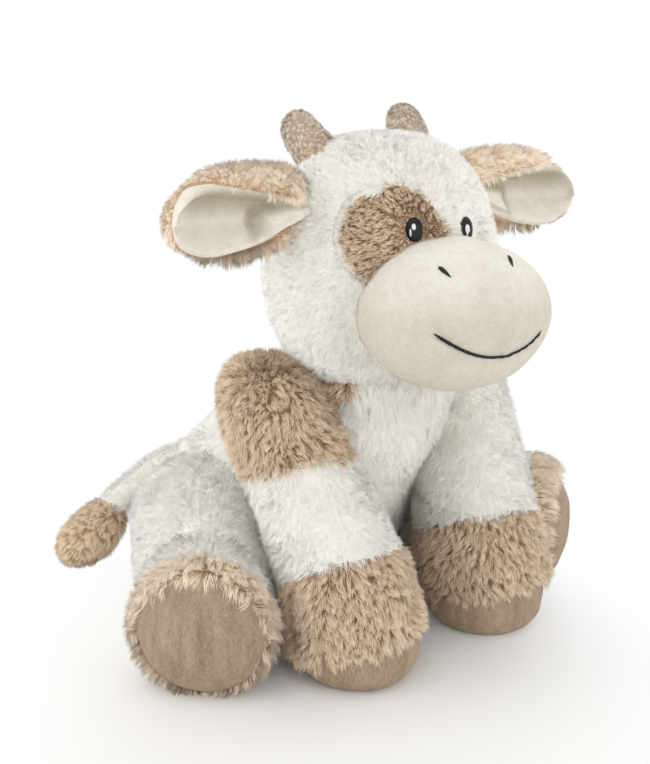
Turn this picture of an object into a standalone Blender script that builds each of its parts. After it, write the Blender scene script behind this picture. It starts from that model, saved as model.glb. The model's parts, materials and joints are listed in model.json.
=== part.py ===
"""A seated plush cow: fabric covers over stuffing, flexing where head, ears, legs and tail are sewn on.

Metres, +Z up. The cow faces -Y and its left side is +X. The origin is the middle of the flat seat.
"""

import math

import bmesh
import bpy
from mathutils import Matrix, Vector
from mathutils.bvhtree import BVHTree

# Fabric, clearances and cutters
PILE = 0.005  # a plush cover with its pile pressed flat
VELOUR = 0.003  # a short-pile cover
FIT_GAP = 0.0004  # between pieces that lie against each other
FLEX_GAP = 0.0008  # between a piece that flexes and what it flexes on
FLOOR_CUT = 0.0005  # how far the floor flattens a stuffed form
CUTTER_SPAN = 0.700  # the side of a block that cuts away half of everything

# Torso: the shares are height, lean, half width and half depth
TORSO_HEIGHT = 0.168
TORSO_HALF_WIDTH = 0.071
TORSO_HALF_DEPTH = 0.090
TORSO_LEAN = 0.098
POUCH_HEIGHT = 0.045
TORSO_SHARES = (
    (0.00, 0.00, 0.40, 0.40),
    (0.00, 0.00, 0.70, 0.68),
    (0.07, 0.00, 0.90, 0.84),
    (0.27, 0.03, 1.04, 0.98),
    (0.53, 0.20, 1.07, 0.95),
    (0.76, 0.56, 0.90, 0.88),
    (0.92, 0.86, 0.76, 0.68),
    (1.00, 1.00, 0.50, 0.44),
)

# Neck: a ball of stuffing that the head turns and nods on
NECK_BACK = 0.003  # behind the head's axis
NECK_RISE = 0.012  # above the head's base
NECK_RADIUS = 0.043
NECK_SEGMENTS = 20
NECK_RINGS = 12

# Head: the shares are height, half width and half depth
HEAD_SINK = 0.002  # its base below the torso's top
HEAD_AHEAD = 0.009  # its axis ahead of the torso's top
HEAD_HEIGHT = 0.147
HEAD_HALF_WIDTH = 0.0728
HEAD_HALF_DEPTH = 0.061
HEAD_SHARES = (
    (0.00, 0.34, 0.34),
    (0.07, 0.68, 0.66),
    (0.28, 0.98, 0.96),
    (0.54, 1.00, 1.01),
    (0.77, 0.87, 0.92),
    (0.94, 0.60, 0.66),
    (1.00, 0.26, 0.28),
)

# Muzzle: the shares are reach forward of its root, half width, half height and drop
MUZZLE_ROOT = 0.011  # ahead of the head's axis
MUZZLE_RISE = 0.057  # above the head's base
MUZZLE_REACH = 0.098
MUZZLE_HALF_WIDTH = 0.065
MUZZLE_HALF_HEIGHT = 0.046
MUZZLE_SHARES = (
    (0.00, 0.58, 0.68, 0.00),
    (0.42, 0.82, 0.93, 0.00),
    (0.68, 0.95, 0.93, 0.04),
    (0.87, 0.79, 0.73, 0.10),
    (0.97, 0.50, 0.45, 0.14),
    (1.00, 0.24, 0.20, 0.14),
)

# Face: places across and above the head's base, and how far the stitches stand out
EYE_X = 0.0185
EYE_RISE = {"right": 0.1025, "left": 0.0995}
EYE_HALF_WIDTH = 0.0050
EYE_HALF_HEIGHT = 0.0068
EYE_BULGE = 0.0030
NOSTRIL_X = 0.0235
NOSTRIL_RISE = 0.0855
NOSTRIL_HALF_LENGTH = 0.0044
NOSTRIL_RADIUS = 0.0013
NOSTRIL_SLANT = math.radians(38)
MOUTH_HALF_WIDTH = 0.037
MOUTH_RISE = 0.0525
MOUTH_SAG = 0.0125
MOUTH_ASIDE = 0.003  # towards the cow's right
MOUTH_SKEW = 0.0045  # how far its right end stands up and its left end down
MOUTH_RADIUS = 0.0009
MOUTH_POINTS = 11

# Tan panel round the right eye: a tilted oval cut through the head cover, from the middle of its base
EYE_PATCH_AIM = Vector((-0.030, -0.043, 0.0985))
EYE_PATCH_FACING_SHARES = Vector((-0.50, -0.80, 0.33))
EYE_PATCH_HALF_WIDTH = 0.0290
EYE_PATCH_HALF_HEIGHT = 0.0275
EYE_PATCH_DEPTH = 0.030

# Horns: root, bend and tip on the left side, from the middle of the head's base
HORN_RADIUS = 0.0118
HORN_ROOT = Vector((0.028, 0.010, 0.128))
HORN_BEND = Vector((0.040, 0.023, 0.143))
HORN_TIP = Vector((0.040, 0.036, 0.1575))
HORN_SHARES = ((0.00, 1.00), (0.45, 1.00), (0.88, 0.78), (1.00, 0.36))
HORN_SEGMENTS = 6

# Ears, from the middle of the head's base: the shares are length, half height and half thickness
EAR_ROOT = Vector((0.058, 0.001, 0.1155))
EAR_TIP = {"right": Vector((0.148, -0.011, 0.1125)), "left": Vector((0.144, -0.009, 0.101))}
EAR_PIVOT = Vector((0.067, 0.000, 0.1175))
EAR_HALF_HEIGHT = 0.0230
EAR_HALF_THICKNESS = 0.0120
EAR_LINING = 0.0026
EAR_CUP_DEPTH = 0.0105
EAR_CUP_HALF_THICKNESS = 0.0170
EAR_CUP_LENGTH_SHARE = 0.45
EAR_CUP_HEIGHT_SHARE = 0.92
EAR_CUP_PLACE_SHARE = 0.565
EAR_FLAP = (-12, 12)
EAR_SHARES = (
    (0.00, 0.62, 0.74),
    (0.16, 0.80, 0.92),
    (0.45, 1.00, 1.00),
    (0.74, 0.96, 0.84),
    (0.93, 0.60, 0.56),
    (1.00, 0.24, 0.26),
)

# Front legs: the shares are height, travel from shoulder to foot, half width and half depth
FRONT_RISE = 0.014  # above the torso's top
FRONT_SHOULDER_X = 0.0693
FRONT_SHOULDER_BACK = 0.009  # behind the torso's top
FRONT_FOOT_X = {"right": 0.045, "left": 0.062}
FRONT_FOOT_Y = {"right": -0.145, "left": -0.140}
FRONT_HALF_WIDTH = 0.040
FRONT_HALF_DEPTH = 0.043
FRONT_PIVOT_X = 0.052
FRONT_PIVOT_DROP = 0.044  # below the leg's top
FRONT_CUFF_HEIGHT = 0.079
FRONT_SOLE_HEIGHT = 0.0145
FRONT_SOLE_TILT = math.radians(7)
SHOULDER_PATCH_DROP = 0.056  # below the leg's top
SHOULDER_PATCH_TILT = math.radians(8)
FRONT_SWING = (0, 24)
FRONT_SHARES = (
    (0.00, 1.00, 0.46, 0.42),
    (0.00, 1.00, 0.88, 0.88),
    (0.10, 1.00, 1.00, 1.00),
    (0.34, 0.90, 0.93, 0.91),
    (0.60, 0.46, 0.78, 0.88),
    (0.82, 0.08, 0.72, 0.91),
    (0.95, 0.00, 0.58, 0.76),
    (1.00, 0.00, 0.36, 0.44),
)

# Hind legs: the shares are length, outward bow, centre height, half height and half width
HIND_HIP_X = 0.058
HIND_HIP_Y = -0.030
HIND_SPLAY = math.radians(41)
HIND_BACK = 0.038
HIND_LENGTH = 0.134
HIND_BOW = 0.015
HIND_HALF_HEIGHT = 0.0520
HIND_HALF_WIDTH = 0.0510
HIND_CUFF = 0.046
HIND_SOLE = 0.011
HIND_SWING = (-22, 0)
HIND_SHARES = (
    (0.00, 0.60, 1.00, 0.56, 0.54),
    (0.10, 0.75, 0.99, 0.95, 0.92),
    (0.28, 0.95, 1.00, 1.00, 1.00),
    (0.50, 0.80, 0.93, 0.93, 0.90),
    (0.72, 0.25, 0.80, 0.80, 0.74),
    (0.88, 0.00, 0.80, 0.80, 0.82),
    (0.97, 0.00, 0.76, 0.70, 0.74),
    (1.00, 0.00, 0.74, 0.40, 0.42),
)

# Tail: a sleeve that leaves the rump towards the right, and the tuft that lies on the floor
TAIL_PIVOT = Vector((0.000, 0.079, 0.060))
TAIL_ROUTE = (
    Vector((-0.020, 0.088, 0.061)),
    Vector((-0.046, 0.091, 0.058)),
    Vector((-0.072, 0.088, 0.049)),
    Vector((-0.094, 0.084, 0.038)),
    Vector((-0.104, 0.082, 0.031)),
)
TUFT_ROUTE = (
    Vector((-0.097, 0.083, 0.0350)),
    Vector((-0.105, 0.081, 0.0290)),
    Vector((-0.114, 0.079, 0.0210)),
    Vector((-0.127, 0.077, 0.0150)),
    Vector((-0.140, 0.076, 0.0100)),
)
TAIL_RADIUS = 0.0095
TAIL_END_RADIUS = 0.0082
TUFT_RADIUS = 0.0155
TUFT_SHARES = (0.52, 0.78, 1.00, 0.98, 0.46)

SEGMENTS = 12
LIMB_SEGMENTS = 8
EAR_SEGMENTS = 10
TAIL_SEGMENTS = 6
BALL_SEGMENTS = 16
BALL_RINGS = 10
TRIM_SEGMENTS = 12
TRIM_RINGS = 6
PANEL_SEGMENTS = 20
STITCH_SEGMENTS = 6
INNER_SEGMENTS = 8
LIMB_INNER_SEGMENTS = 6
SWEEP_COPIES = 3
DOWN = Vector((0, 0, -1))

FRONT_HEIGHT = TORSO_HEIGHT + FRONT_RISE
FRONT_SHOULDER_Y = FRONT_SHOULDER_BACK - TORSO_LEAN
HEAD_BASE = Vector((0, -TORSO_LEAN - HEAD_AHEAD, TORSO_HEIGHT - HEAD_SINK))
NECK = HEAD_BASE + Vector((0, NECK_BACK, NECK_RISE))

for old in list(bpy.data.objects):
    bpy.data.objects.remove(old, do_unlink=True)
cow = bpy.data.collections.new("plush_cow")
cutters = bpy.data.collections.new("cutters")
bpy.context.scene.collection.children.link(cow)
bpy.context.scene.collection.children.link(cutters)


def fabric(name, colour, roughness, metallic=0.0):
    material = bpy.data.materials.new(name)
    material.use_nodes = True
    shader = material.node_tree.nodes["Principled BSDF"]
    shader.inputs["Base Color"].default_value = (*colour, 1)
    shader.inputs["Roughness"].default_value = roughness
    shader.inputs["Metallic"].default_value = metallic
    return material


WHITE_PLUSH = fabric("white_plush", (0.86, 0.84, 0.78), 0.95)
TAN_PLUSH = fabric("tan_plush", (0.55, 0.37, 0.22), 0.95)
CREAM_VELOUR = fabric("cream_velour", (0.80, 0.74, 0.63), 0.85)
TAUPE_VELOUR = fabric("taupe_velour", (0.42, 0.32, 0.23), 0.85)
BLACK_THREAD = fabric("black_thread", (0.012, 0.012, 0.016), 0.60)
BLACK_EYE = fabric("black_eye", (0.010, 0.010, 0.012), 0.25)
STUFFING = fabric("stuffing", (0.90, 0.90, 0.88), 1.0)
BEANS = fabric("bean_bag", (0.62, 0.60, 0.55), 0.8)


def add(name, mesh, material=None):
    """A node of the cow, or a cutter where there is no material."""
    piece = bpy.data.objects.new(name, mesh)
    if material:
        cow.objects.link(piece)
        mesh.materials.append(material)
        mesh.shade_smooth()
    else:
        cutters.objects.link(piece)
        piece.hide_render = True
        piece.display_type = "WIRE"
    return piece


def carve(piece, *tools, operation="DIFFERENCE", solver="EXACT"):
    for tool in tools:
        cut = piece.modifiers.new(tool.name, "BOOLEAN")
        cut.operation = operation
        cut.object = tool
        cut.solver = solver


def clear(piece, copies):
    """Cut a limb clear of the form it flexes on. The copies cross at small angles, where EXACT fails."""
    carve(piece, *copies, solver="MANIFOLD")


def grown(rings, by):
    """The rings of a form that is larger all round by this much, or smaller where it is negative."""
    start, end = rings[0][0], rings[-1][0]
    axis = (end - start).normalized()
    length = (end - start).dot(axis)
    bigger = []
    for centre, across, along in rings:
        place = (centre - start).dot(axis) / length
        bigger.append(
            (
                centre + axis * by * (2 * place - 1),
                across * (1 + by / across.length),
                along * (1 + by / along.length),
            )
        )
    return bigger


def loft(name, rings, material=None, segments=SEGMENTS, drawn_in=1.0):
    """A closed tube through oval rings, each (centre, half axis, half axis)."""
    bm = bmesh.new()
    turns = [math.tau * k / segments for k in range(segments)]
    loops = [
        [
            bm.verts.new(centre + (across * math.cos(a) + along * math.sin(a)) / drawn_in)
            for a in turns
        ]
        for centre, across, along in rings
    ]
    for low, high in zip(loops, loops[1:]):
        for k in range(segments):
            n = (k + 1) % segments
            bm.faces.new((low[k], low[n], high[n], high[k]))
    bm.faces.new(loops[0])
    bm.faces.new(loops[-1])
    bmesh.ops.recalc_face_normals(bm, faces=bm.faces)
    mesh = bpy.data.meshes.new(name)
    bm.to_mesh(mesh)
    bm.free()
    return add(name, mesh, material)


def stuffed(name, rings, material=None, by=0.0, segments=SEGMENTS):
    """A stuffed form: a coarse loft of oval rings, subdivided once."""
    drawn_in = (3 + math.cos(math.tau / segments)) / 4
    piece = loft(name, grown(rings, by) if by else rings, material, segments, drawn_in)
    smooth = piece.modifiers.new("stuffed", "SUBSURF")
    smooth.levels = 1
    smooth.render_levels = 1
    return piece


def ball(name, centre, half_sizes, material=None, turn=None, segments=BALL_SEGMENTS, rings=BALL_RINGS):
    """An oval ball from a sphere primitive, with its sizes and turn applied to the mesh."""
    bm = bmesh.new()
    bmesh.ops.create_uvsphere(bm, u_segments=segments, v_segments=rings, radius=1)
    bm.transform((turn or Matrix.Identity(4)) @ Matrix.Diagonal((*half_sizes, 1)))
    mesh = bpy.data.meshes.new(name)
    bm.to_mesh(mesh)
    bm.free()
    piece = add(name, mesh, material)
    piece.location = centre
    return piece


def half_space(name, point, normal):
    """A block whose near face passes through the point and that fills the side the normal points to."""
    bpy.ops.mesh.primitive_cube_add(size=1)
    block = bpy.context.object
    block.name = name
    block.data.transform(Matrix.Diagonal((CUTTER_SPAN, CUTTER_SPAN, CUTTER_SPAN, 1)))
    for collection in list(block.users_collection):
        collection.objects.unlink(block)
    cutters.objects.link(block)
    block.hide_render = True
    block.display_type = "WIRE"
    block.rotation_mode = "QUATERNION"
    block.rotation_quaternion = normal.to_track_quat("Z", "Y")
    block.location = point + normal.normalized() * (CUTTER_SPAN / 2)
    return block


def seam(name, point, normal):
    """The two cutters of a seam: what is kept is behind the first, or ahead of the second."""
    unit = normal.normalized()
    ahead = half_space(f"{name}_ahead", point - unit * (FIT_GAP / 2), unit)
    behind = half_space(f"{name}_behind", point + unit * (FIT_GAP / 2), -unit)
    return ahead, behind


def pivot(name, place, pieces):
    """An empty on a joint's axis that carries the pieces of its body."""
    empty = bpy.data.objects.new(name, None)
    empty.location = place
    cow.objects.link(empty)
    for piece in pieces:
        piece.parent = empty
        piece.matrix_parent_inverse = Matrix.Translation(place).inverted()
    return empty


def swept(name, rings, place, axis, limits_deg):
    """Copies of the form that a limb flexes on, turned about the limb's pivot over the limb's range."""
    low, high = (math.radians(v) for v in limits_deg)
    copies = []
    for k in range(SWEEP_COPIES):
        angle = -(low + (high - low) * k / (SWEEP_COPIES - 1))
        copy = stuffed(f"{name}_{k}", rings, by=FLEX_GAP)
        turn = Matrix.Rotation(angle, 4, axis)
        copy.matrix_world = (
            Matrix.Translation(place) @ turn @ Matrix.Translation(-place)
        )
        copies.append(copy)
    return copies


def surface_point(rings, start, direction):
    """Where a straight line first meets a stuffed form, and the form's normal there."""
    probe = stuffed("probe", rings)
    bpy.context.view_layer.update()
    tree = BVHTree.FromObject(probe, bpy.context.evaluated_depsgraph_get())
    place, normal, _, _ = tree.ray_cast(start, direction)
    bpy.data.objects.remove(probe, do_unlink=True)
    return place, normal


def torso_rings():
    rings = []
    for height, lean, width, depth in TORSO_SHARES:
        z = height * (TORSO_HEIGHT + FLOOR_CUT) - FLOOR_CUT
        rings.append(
            (
                Vector((0, -lean * TORSO_LEAN, z)),
                Vector((width * TORSO_HALF_WIDTH, 0, 0)),
                Vector((0, depth * TORSO_HALF_DEPTH, 0)),
            )
        )
    return rings


def head_rings():
    return [
        (
            HEAD_BASE + Vector((0, 0, height * HEAD_HEIGHT)),
            Vector((width * HEAD_HALF_WIDTH, 0, 0)),
            Vector((0, depth * HEAD_HALF_DEPTH, 0)),
        )
        for height, width, depth in HEAD_SHARES
    ]


def muzzle_rings():
    return [
        (
            HEAD_BASE
            + Vector(
                (
                    0,
                    -MUZZLE_ROOT - reach * MUZZLE_REACH,
                    MUZZLE_RISE - drop * MUZZLE_HALF_HEIGHT,
                )
            ),
            Vector((width * MUZZLE_HALF_WIDTH, 0, 0)),
            Vector((0, 0, height * MUZZLE_HALF_HEIGHT)),
        )
        for reach, width, height, drop in MUZZLE_SHARES
    ]


def route_rings(route, halves):
    """Rings square to a route, each with its own half width and half height."""
    rings = []
    for k, (point, (width, height)) in enumerate(zip(route, halves)):
        before, after = route[max(k - 1, 0)], route[min(k + 1, len(route) - 1)]
        forward = (after - before).normalized()
        across = forward.cross(DOWN).normalized()
        upward = across.cross(forward).normalized()
        rings.append((point, across * width, upward * height))
    return rings


def bent(root, bend, tip, share):
    """A point on the arc that leaves the root towards the bend and ends on the tip."""
    return root.lerp(bend, share).lerp(bend.lerp(tip, share), share)


def sided(vector, side):
    """The same place on the cow's left (side 1) or right (side -1)."""
    return Vector((vector.x * side, vector.y, vector.z))


def horn_rings(side):
    root, bend, tip = (HEAD_BASE + sided(v, side) for v in (HORN_ROOT, HORN_BEND, HORN_TIP))
    route = [bent(root, bend, tip, place) for place, _ in HORN_SHARES]
    forward = (tip - root).normalized()
    across = forward.cross(Vector((0, 1, 0))).normalized()
    along = across.cross(forward).normalized()
    return [
        (point, across * radius * HORN_RADIUS, along * radius * HORN_RADIUS)
        for point, (_, radius) in zip(route, HORN_SHARES)
    ]


def ear_rings(name, side):
    root, tip = HEAD_BASE + sided(EAR_ROOT, side), HEAD_BASE + sided(EAR_TIP[name], side)
    return [
        (
            root.lerp(tip, place),
            Vector((0, 0, height * EAR_HALF_HEIGHT)),
            Vector((0, thickness * EAR_HALF_THICKNESS, 0)),
        )
        for place, height, thickness in EAR_SHARES
    ]


def front_rings(name, side):
    shoulder = Vector((FRONT_SHOULDER_X * side, FRONT_SHOULDER_Y, 0))
    foot = Vector((FRONT_FOOT_X[name] * side, FRONT_FOOT_Y[name], 0))
    rings = []
    for height, travel, width, depth in FRONT_SHARES:
        centre = shoulder.lerp(foot, travel)
        centre.z = height * (FRONT_HEIGHT + FLOOR_CUT) - FLOOR_CUT
        rings.append(
            (
                centre,
                Vector((width * FRONT_HALF_WIDTH, 0, 0)),
                Vector((0, depth * FRONT_HALF_DEPTH, 0)),
            )
        )
    return rings


def hind_frame(side):
    """The hip, the direction the leg points, and the outward direction square to it."""
    hip = Vector((HIND_HIP_X * side, HIND_HIP_Y, 0))
    forward = Vector((side * math.sin(HIND_SPLAY), -math.cos(HIND_SPLAY), 0))
    outward = Vector((side * math.cos(HIND_SPLAY), math.sin(HIND_SPLAY), 0))
    return hip, forward, outward


def hind_rings(side):
    hip, forward, outward = hind_frame(side)
    rings = []
    for place, bow, lift, height, width in HIND_SHARES:
        run = place * (HIND_BACK + HIND_LENGTH) - HIND_BACK
        centre = hip + forward * run + outward * bow * HIND_BOW
        centre.z = lift * HIND_HALF_HEIGHT - FLOOR_CUT
        rings.append(
            (
                centre,
                outward * width * HIND_HALF_WIDTH,
                Vector((0, 0, height * HIND_HALF_HEIGHT)),
            )
        )
    return rings


FLOOR = half_space("floor_cutter", Vector((0, 0, 0)), DOWN)
TORSO = torso_rings()
HEAD = head_rings()
MUZZLE = muzzle_rings()
HEAD_OUTSIDE = stuffed("head_outside", HEAD, by=FIT_GAP)
MUZZLE_OUTSIDE = stuffed("muzzle_outside", MUZZLE, by=FIT_GAP)


def neck_ball(name, material=None, by=0.0):
    sizes = [NECK_RADIUS + by] * 3
    return ball(name, NECK, sizes, material, segments=NECK_SEGMENTS, rings=NECK_RINGS)


def make_torso():
    """Body cover open at the neck, its stuffing, the bean pouch in the seat, and the plush neck."""
    neck_hole = neck_ball("neck_hole", by=FLEX_GAP)
    tail_dimple = ball("tail_dimple", TAIL_PIVOT, [TAIL_RADIUS + FLEX_GAP] * 3)
    inside = stuffed("torso_inside", TORSO, by=-PILE, segments=INNER_SEGMENTS)
    cover = stuffed("body_cover", TORSO, WHITE_PLUSH)
    carve(cover, inside, neck_hole, tail_dimple, FLOOR)
    above, below = seam("pouch_seam", Vector((0, 0, POUCH_HEIGHT)), -DOWN)
    filling = stuffed("body_filling", TORSO, STUFFING, -PILE - FIT_GAP, INNER_SEGMENTS)
    carve(filling, below, neck_hole, tail_dimple)
    pouch = stuffed("bean_pouch", TORSO, BEANS, -PILE - FIT_GAP, INNER_SEGMENTS)
    carve(pouch, above, tail_dimple)
    pivot("neck_pivot", NECK, [neck_ball("neck_cushion", WHITE_PLUSH)])


def oval_plug(name, by=0.0):
    """The tilted oval that the eye panel is cut with."""
    facing = EYE_PATCH_FACING_SHARES.normalized()
    bm = bmesh.new()
    bmesh.ops.create_cone(bm, cap_ends=True, segments=PANEL_SEGMENTS, radius1=1, radius2=1, depth=1)
    sizes = (EYE_PATCH_HALF_WIDTH + by, EYE_PATCH_HALF_HEIGHT + by, 2 * EYE_PATCH_DEPTH, 1)
    bm.transform(Matrix.Diagonal(sizes))
    mesh = bpy.data.meshes.new(name)
    bm.to_mesh(mesh)
    bm.free()
    plug = add(name, mesh)
    plug.rotation_mode = "QUATERNION"
    plug.rotation_quaternion = facing.to_track_quat("Z", "Y")
    plug.location = HEAD_BASE + EYE_PATCH_AIM
    return plug


def make_head():
    """Head cover open at the neck, its tan eye panel, its stuffing, eyes and horns."""
    socket = neck_ball("head_socket", by=FLEX_GAP)
    inside = stuffed("head_inside", HEAD, by=-PILE, segments=INNER_SEGMENTS)
    plug, hole = oval_plug("eye_panel_plug"), oval_plug("eye_panel_hole", FIT_GAP)
    cover = stuffed("head_cover", HEAD, WHITE_PLUSH)
    carve(cover, inside, socket, hole)
    panel = stuffed("eye_patch_right", HEAD, TAN_PLUSH)
    carve(panel, inside)
    carve(panel, plug, operation="INTERSECT")
    filling = stuffed("head_filling", HEAD, STUFFING, -PILE - FIT_GAP, INNER_SEGMENTS)
    carve(filling, socket)
    pieces = [cover, panel, filling]
    for name, side in (("right", -1), ("left", 1)):
        start = HEAD_BASE + Vector((EYE_X * side, -CUTTER_SPAN, EYE_RISE[name]))
        place, normal = surface_point(HEAD, start, Vector((0, 1, 0)))
        turn = normal.to_track_quat("Z", "Y").to_matrix().to_4x4()
        sizes = (EYE_HALF_WIDTH, EYE_HALF_HEIGHT, EYE_BULGE)
        eye = ball(f"eye_{name}", place, sizes, BLACK_EYE, turn, TRIM_SEGMENTS, TRIM_RINGS)
        carve(eye, HEAD_OUTSIDE, MUZZLE_OUTSIDE)
        horn = stuffed(f"horn_{name}_cover", horn_rings(side), TAUPE_VELOUR, segments=HORN_SEGMENTS)
        core = stuffed(f"horn_{name}_inside", horn_rings(side), by=-VELOUR, segments=HORN_SEGMENTS)
        carve(horn, core, HEAD_OUTSIDE)
        core_filling = stuffed(
            f"horn_{name}_filling", horn_rings(side), STUFFING, -VELOUR - FIT_GAP, HORN_SEGMENTS
        )
        carve(core_filling, HEAD_OUTSIDE)
        pieces += [eye, horn, core_filling]
    return pieces


def make_muzzle():
    """Muzzle cover open towards the head, its stuffing, two nostril stitches and the mouth's thread."""
    inside = stuffed("muzzle_inside", MUZZLE, by=-VELOUR, segments=INNER_SEGMENTS)
    cover = stuffed("muzzle_cover", MUZZLE, CREAM_VELOUR)
    carve(cover, inside, HEAD_OUTSIDE)
    filling = stuffed(
        "muzzle_filling", MUZZLE, STUFFING, -VELOUR - FIT_GAP, INNER_SEGMENTS
    )
    carve(filling, HEAD_OUTSIDE)
    pieces = [cover, filling]
    for name, side in (("right", -1), ("left", 1)):
        start = HEAD_BASE + Vector((NOSTRIL_X * side, -CUTTER_SPAN, NOSTRIL_RISE))
        place, normal = surface_point(MUZZLE, start, Vector((0, 1, 0)))
        turn = normal.to_track_quat("Z", "Y").to_matrix().to_4x4()
        turn = turn @ Matrix.Rotation(NOSTRIL_SLANT * side, 4, "Z")
        sizes = (NOSTRIL_RADIUS, NOSTRIL_HALF_LENGTH, NOSTRIL_RADIUS)
        stitch = ball(f"nostril_{name}", place, sizes, BLACK_THREAD, turn, TRIM_SEGMENTS, TRIM_RINGS)
        carve(stitch, MUZZLE_OUTSIDE)
        pieces.append(stitch)
    route = []
    for k in range(MOUTH_POINTS):
        across = 2 * k / (MOUTH_POINTS - 1) - 1
        start = HEAD_BASE + Vector(
            (
                across * MOUTH_HALF_WIDTH - MOUTH_ASIDE,
                -CUTTER_SPAN,
                MOUTH_RISE - MOUTH_SAG * (1 - across**2) - across * MOUTH_SKEW,
            )
        )
        place, normal = surface_point(MUZZLE, start, Vector((0, 1, 0)))
        route.append(place + normal * (MOUTH_RADIUS + FIT_GAP))
    halves = [(MOUTH_RADIUS, MOUTH_RADIUS)] * len(route)
    pieces.append(loft("mouth_stitch", route_rings(route, halves), BLACK_THREAD, STITCH_SEGMENTS))
    return pieces


def make_ear(name, side):
    """An ear's tan back and the cupped cream lining that nests in it."""
    rings = ear_rings(name, side)
    root, tip = rings[0][0], rings[-1][0]
    length = (tip - root).length
    axis = Vector((0, 1, 0))
    place = HEAD_BASE + sided(EAR_PIVOT, side)
    limits = [side * v for v in EAR_FLAP]
    head_sweep = swept(f"ear_{name}_sweep", HEAD, place, axis, sorted(limits))

    def cup(label, by):
        centre = root.lerp(tip, EAR_CUP_PLACE_SHARE)
        centre.y -= EAR_CUP_HALF_THICKNESS - EAR_CUP_DEPTH + EAR_HALF_THICKNESS
        sizes = (
            length * EAR_CUP_LENGTH_SHARE + by,
            EAR_CUP_HALF_THICKNESS + by,
            EAR_HALF_HEIGHT * EAR_CUP_HEIGHT_SHARE + by,
        )
        slope = (tip - root).to_track_quat("X", "Z").to_matrix().to_4x4()
        return ball(f"ear_{name}_{label}", centre, sizes, turn=slope)

    hollow = cup("hollow", 0.0)
    seat = cup("seat", EAR_LINING + FIT_GAP)
    face = cup("face", EAR_LINING)
    back = stuffed(f"ear_{name}_back", rings, TAN_PLUSH, segments=EAR_SEGMENTS)
    clear(back, head_sweep)
    carve(back, seat)
    lining = stuffed(f"ear_{name}_lining", rings, CREAM_VELOUR, segments=EAR_SEGMENTS)
    clear(lining, head_sweep)
    carve(lining, face, operation="INTERSECT")
    carve(lining, hollow)
    pivot(f"ear_{name}_pivot", place, [back, lining])
    return back, lining


def make_front_leg(name, side):
    """A front leg: sleeve, cuff and sole over stuffing, and on the right the tan shoulder panel."""
    rings = front_rings(name, side)
    foot, shoulder = rings[0][0], rings[-1][0]
    place = Vector((FRONT_PIVOT_X * side, FRONT_SHOULDER_Y, FRONT_HEIGHT - FRONT_PIVOT_DROP))
    sweep = swept(f"front_{name}_sweep", TORSO, place, Vector((-1, 0, 0)), FRONT_SWING)
    inside = stuffed(f"front_{name}_inside", rings, None, -PILE, LIMB_INNER_SEGMENTS)
    tilted = Vector((0, math.sin(FRONT_SOLE_TILT), math.cos(FRONT_SOLE_TILT)))
    cuff_point = Vector((foot.x, foot.y, FRONT_CUFF_HEIGHT))
    sole_point = Vector((foot.x, foot.y, FRONT_SOLE_HEIGHT))
    above_cuff, below_cuff = seam(f"front_{name}_cuff_seam", cuff_point, -DOWN)
    above_sole, below_sole = seam(f"front_{name}_sole_seam", sole_point, tilted)
    cover = stuffed(f"front_leg_{name}_cover", rings, WHITE_PLUSH, segments=LIMB_SEGMENTS)
    clear(cover, sweep)
    carve(cover, inside, below_cuff)
    pieces = [cover]
    if name == "right":
        lean = Vector((0, math.sin(SHOULDER_PATCH_TILT), math.cos(SHOULDER_PATCH_TILT)))
        panel_point = Vector((shoulder.x, shoulder.y, FRONT_HEIGHT - SHOULDER_PATCH_DROP))
        above_panel, below_panel = seam("shoulder_seam", panel_point, lean)
        panel = stuffed("shoulder_patch_right", rings, TAN_PLUSH, segments=LIMB_SEGMENTS)
        clear(panel, sweep)
        carve(panel, inside, below_panel)
        carve(cover, above_panel)
        pieces.append(panel)
    cuff = stuffed(f"front_leg_{name}_cuff", rings, TAN_PLUSH, segments=LIMB_SEGMENTS)
    clear(cuff, sweep)
    carve(cuff, inside, above_cuff, below_sole)
    sole = stuffed(f"front_leg_{name}_sole", rings, TAUPE_VELOUR, segments=LIMB_SEGMENTS)
    carve(sole, inside, above_sole, FLOOR)
    filling = stuffed(
        f"front_leg_{name}_filling", rings, STUFFING, -PILE - FIT_GAP, LIMB_INNER_SEGMENTS
    )
    clear(filling, sweep)
    pivot(f"front_leg_{name}_pivot", place, [*pieces, cuff, sole, filling])


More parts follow.
